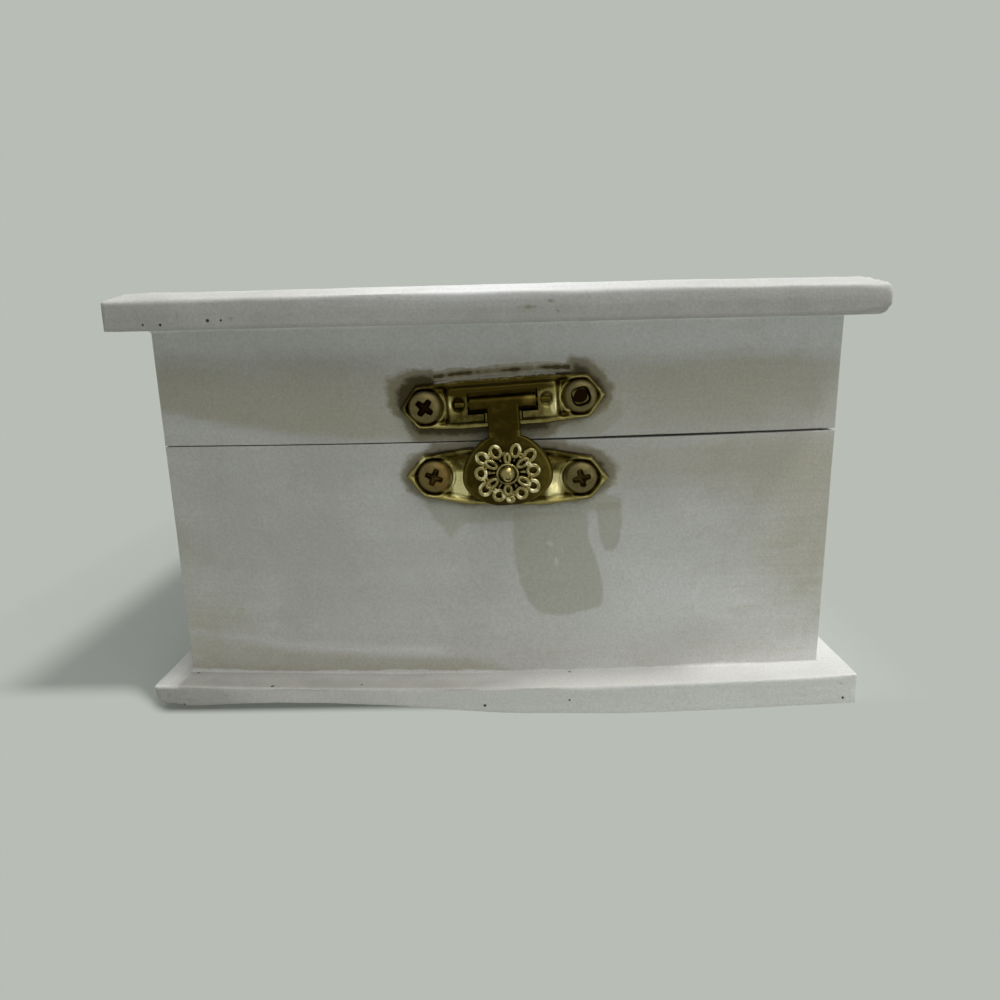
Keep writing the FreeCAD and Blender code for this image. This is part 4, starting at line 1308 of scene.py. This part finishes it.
def makeMetal():
    plateBrass = agedBrass("plateBrass", brass["plate"])
    tongueBrass = agedBrass("tongueBrass", brass["tongue"])
    rosetteBrass = agedBrass("rosetteBrass", brass["rosette"])
    screwBrass = agedBrass("screwBrass", brass["screw"])
    hingeBrass = agedBrass("hingeBrass", brass["hinge"])
    makePlate("stamped_hasp_plate", "hasp_plate", hasp, plate["haspHalf"], haspPlateHeight,
              "lid", plateBrass)
    makePlate("stamped_catch_plate", "catch_plate", catch, plate["catchHalf"], catchPlateHeight,
              "box", plateBrass)
    makeTongue(tongueBrass)
    makeRosette(rosetteBrass)
    makeRivet(rosetteBrass)
    # in pairs for the left and the right screw: turn, wear, rust on the head and rust in the cross
    makeHaspScrews("hasp_plate_screws", "hasp_screws", hasp, "lid", plate["haspScrewHalf"],
                   plate["haspFloor"], (50, 15), (0, 1), ((0.1, 0.0), (0.0, 0.0)), screwBrass)
    makeHaspScrews("catch_plate_screws", "catch_screws", catch, "box", plate["catchScrewHalf"],
                   plate["catchFloor"], (-20, 15), (0, 0), ((1.0, 0.1), (0.45, 0.6)), screwBrass)
    makeHingeScrews("lower_hinge_screws", "hinge_lower_screws", "box", -1, screwBrass)
    makeHingeScrews("upper_hinge_screws", "hinge_upper_screws", "lid", 1, screwBrass)
    for side in ("left", "right"):
        for level, body in (("lower", "box"), ("upper", "lid")):
            softenedCopy("hinge_%s_%s_leaf" % (side, level), body, hingeBrass, hinge["bevel"])
        pin = "hinge_%s_pin" % side
        softenedCopy(pin, frame["nodes"][pin]["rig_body"], hingeBrass, hinge["pinBevel"])
    haspPinBody = frame["nodes"]["hasp_pin"]["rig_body"]
    softenedCopy("hasp_pin", haspPinBody, tongueBrass, plate["pinBevel"])
    print("brass made")


stage = {
    "background": (0.4793, 0.5089, 0.4678, 1.0),    # as the camera sees the wall and the far floor
    "floor": (0.443, 0.473, 0.433, 1.0),
    "floorRadius": 3.0,      # in metres
    "floorDrop": 0.02,       # in millimetres under the box
    "floorRough": 0.9,
    "floorSpecular": 0.1,
    "farFloor": (0.02, 0.02, 0.02, 1.0),    # what light other than the camera's meets past the pool
    # the floor shows its own light in a rounded rectangle round the shadow, in metres, and fades out of it
    "keepMiddle": (-0.020, 0.0285, 0.0),
    "keepHalf": (0.075, 0.0675, 1.0),
    "steeper": 4.5,          # it fades faster towards the front
    "leanFrom": -0.062,      # left of this the front edge lies further back and fades slower
    "leanTo": -0.050,
    "lean": 0.0105,          # by so many metres
    "leanSlower": 2.85,      # and by so much of the steepness
    "fade": 0.014,
    "lift": 0.18,            # share of the background's colour everywhere on the floor
    "poolFrom": 0.10,        # the floor's own light falls off past the pool of the lamps
    "poolTo": 0.24,
    "worldLight": (0.17, 0.17, 0.17, 1.0),
}


def makeFloor():
    # flat disc of rings, closer together near the middle
    radius = np.concatenate([[0], np.geomspace(0.02, stage["floorRadius"], 40)])[:, None] / mm
    angle = np.linspace(0, 2 * math.pi, 97)[None, :-1]
    low = 0 * radius * angle - stage["floorDrop"]
    points = np.stack([radius * np.cos(angle), radius * np.sin(angle), low], -1)
    faces = gridFaces(*points.shape[:2], wrapColumns=True)
    floor = newPiece("studio_floor", points.reshape(-1, 3), faces, outward=False)
    material, tree, shader = newMaterial("studioFloor")
    shader.inputs["Roughness"].default_value = stage["floorRough"]
    shader.inputs["Specular IOR Level"].default_value = stage["floorSpecular"]
    coordinates = tree.nodes.new("ShaderNodeTexCoord").outputs["Object"]
    away = vectorMaths(tree, "LENGTH", coordinates)
    across = addNode(tree, "SeparateXYZ", Vector=coordinates).outputs["X"]
    left = stepBetween(tree, across, stage["leanTo"], stage["leanFrom"])
    back = addNode(tree, "CombineXYZ", Y=times(tree, left, stage["lean"])).outputs[0]
    steep = minus(tree, stage["steeper"], times(tree, left, stage["leanSlower"]))
    leaning = vectorMaths(tree, "SUBTRACT", coordinates, back)
    shifted = vectorMaths(tree, "SUBTRACT", leaning, stage["keepMiddle"])
    past = vectorMaths(tree, "SUBTRACT", vectorMaths(tree, "ABSOLUTE", shifted), stage["keepHalf"])
    factors = addNode(tree, "CombineXYZ", X=1.0, Y=steep, Z=1.0).outputs[0]
    outside = vectorMaths(tree, "MAXIMUM", vectorMaths(tree, "MULTIPLY", past, factors), (0, 0, 0))
    out = vectorMaths(tree, "LENGTH", outside)
    far = maths(tree, "MAXIMUM", stepBetween(tree, out, 0.0, stage["fade"]), stage["lift"])
    pool = stepBetween(tree, away, stage["poolFrom"], stage["poolTo"])
    unseen = times(tree, pool, minus(tree, 1.0, seenRays(tree)))
    tree.links.new(mixColour(tree, unseen, stage["floor"], stage["farFloor"]), shader.inputs["Base Color"])
    glow = addNode(tree, "Emission", Color=stage["background"])
    mixed = addNode(tree, "MixShader", in0=times(tree, far, seenRays(tree)))
    tree.links.new(shader.outputs[0], mixed.inputs[1])
    tree.links.new(glow.outputs[0], mixed.inputs[2])
    tree.links.new(mixed.outputs[0], tree.nodes["Material Output"].inputs["Surface"])
    floor.data.materials.append(material)


def seenRays(tree):
    rays = tree.nodes.new("ShaderNodeLightPath").outputs
    seen = maths(tree, "MAXIMUM", rays["Is Camera Ray"], rays["Is Glossy Ray"])
    return maths(tree, "MAXIMUM", seen, rays["Is Transmission Ray"])


def makeWorld():
    world = bpy.data.worlds.new("studio")
    bpy.context.scene.world = world
    world.use_nodes = True
    tree = world.node_tree
    lit = tree.nodes["Background"]
    lit.inputs["Color"].default_value = stage["worldLight"]
    seen = addNode(tree, "Background", Color=stage["background"])
    mixed = addNode(tree, "MixShader", in0=seenRays(tree))
    tree.links.new(lit.outputs[0], mixed.inputs[1])
    tree.links.new(seen.outputs[0], mixed.inputs[2])
    tree.links.new(mixed.outputs[0], tree.nodes["World Output"].inputs["Surface"])


lamps = {
    # azimuth from the front towards the right, height above the horizon, strength, angle of the source
    "key": {"azimuth": 84, "height": 65, "strength": 1.9, "angle": 9},
    "ceiling": {"azimuth": 32, "height": 60, "strength": 0.8, "angle": 55},
    "rear": {"azimuth": 178, "height": 44, "strength": 0.42, "angle": 12},
}
# One lamp near the box, low and to the right of the front: places in metres.
nearLamp = {"place": (0.19, -0.21, 0.045), "aim": (0.0, -0.038, 0.03), "size": 0.10, "power": 0.044}


def makeLamps():
    for name, lamp in lamps.items():
        light = bpy.data.lights.new(name + "Lamp", "SUN")
        light.energy = lamp["strength"]
        light.angle = math.radians(lamp["angle"])
        shown = addObject(name + "Lamp", light)
        shown.rotation_euler = (math.radians(90 - lamp["height"]), 0, math.radians(lamp["azimuth"]))
    light = bpy.data.lights.new("nearLamp", "AREA")
    light.shape = "DISK"
    light.size = nearLamp["size"]
    light.energy = nearLamp["power"]
    shown = addObject("nearLamp", light)
    shown.location = nearLamp["place"]
    across, ahead, rise = np.subtract(nearLamp["aim"], nearLamp["place"])
    shown.rotation_euler = (math.atan2(math.hypot(across, ahead), -rise), 0, math.atan2(-across, ahead))


camera = {
    "place": (1.654, -142.205, 55.590),
    "turn": (76.759, 1.3045, 0.5368),
    "lens": 26.83,
    "sensor": 36.0,
    "nearest": 0.005,        # in metres, as the next
    "farthest": 20,
}


def makeCamera():
    data = bpy.data.cameras.new("camera")
    data.lens = camera["lens"]
    data.sensor_width = camera["sensor"]
    data.clip_start = camera["nearest"]
    data.clip_end = camera["farthest"]
    shown = addObject("camera", data)
    shown.location = np.array(camera["place"]) * mm
    shown.rotation_euler = [math.radians(a) for a in camera["turn"]]
    bpy.context.scene.camera = shown


makeCamera()
makeFloor()
makeWorld()
makeLamps()
print("camera, floor, world and lamps made")
makeWood()
makeBead("lid_paint_bead", "lid", box["lidUnder"], -1, bead["lidSize"], 91)
makeBead("base_paint_bead", "box", box["baseTop"], 1, bead["baseSize"], 97)
makePlateRidge()
print("beads of paint made")
makeMetal()

bpy.context.scene.view_settings.view_transform = "Standard"
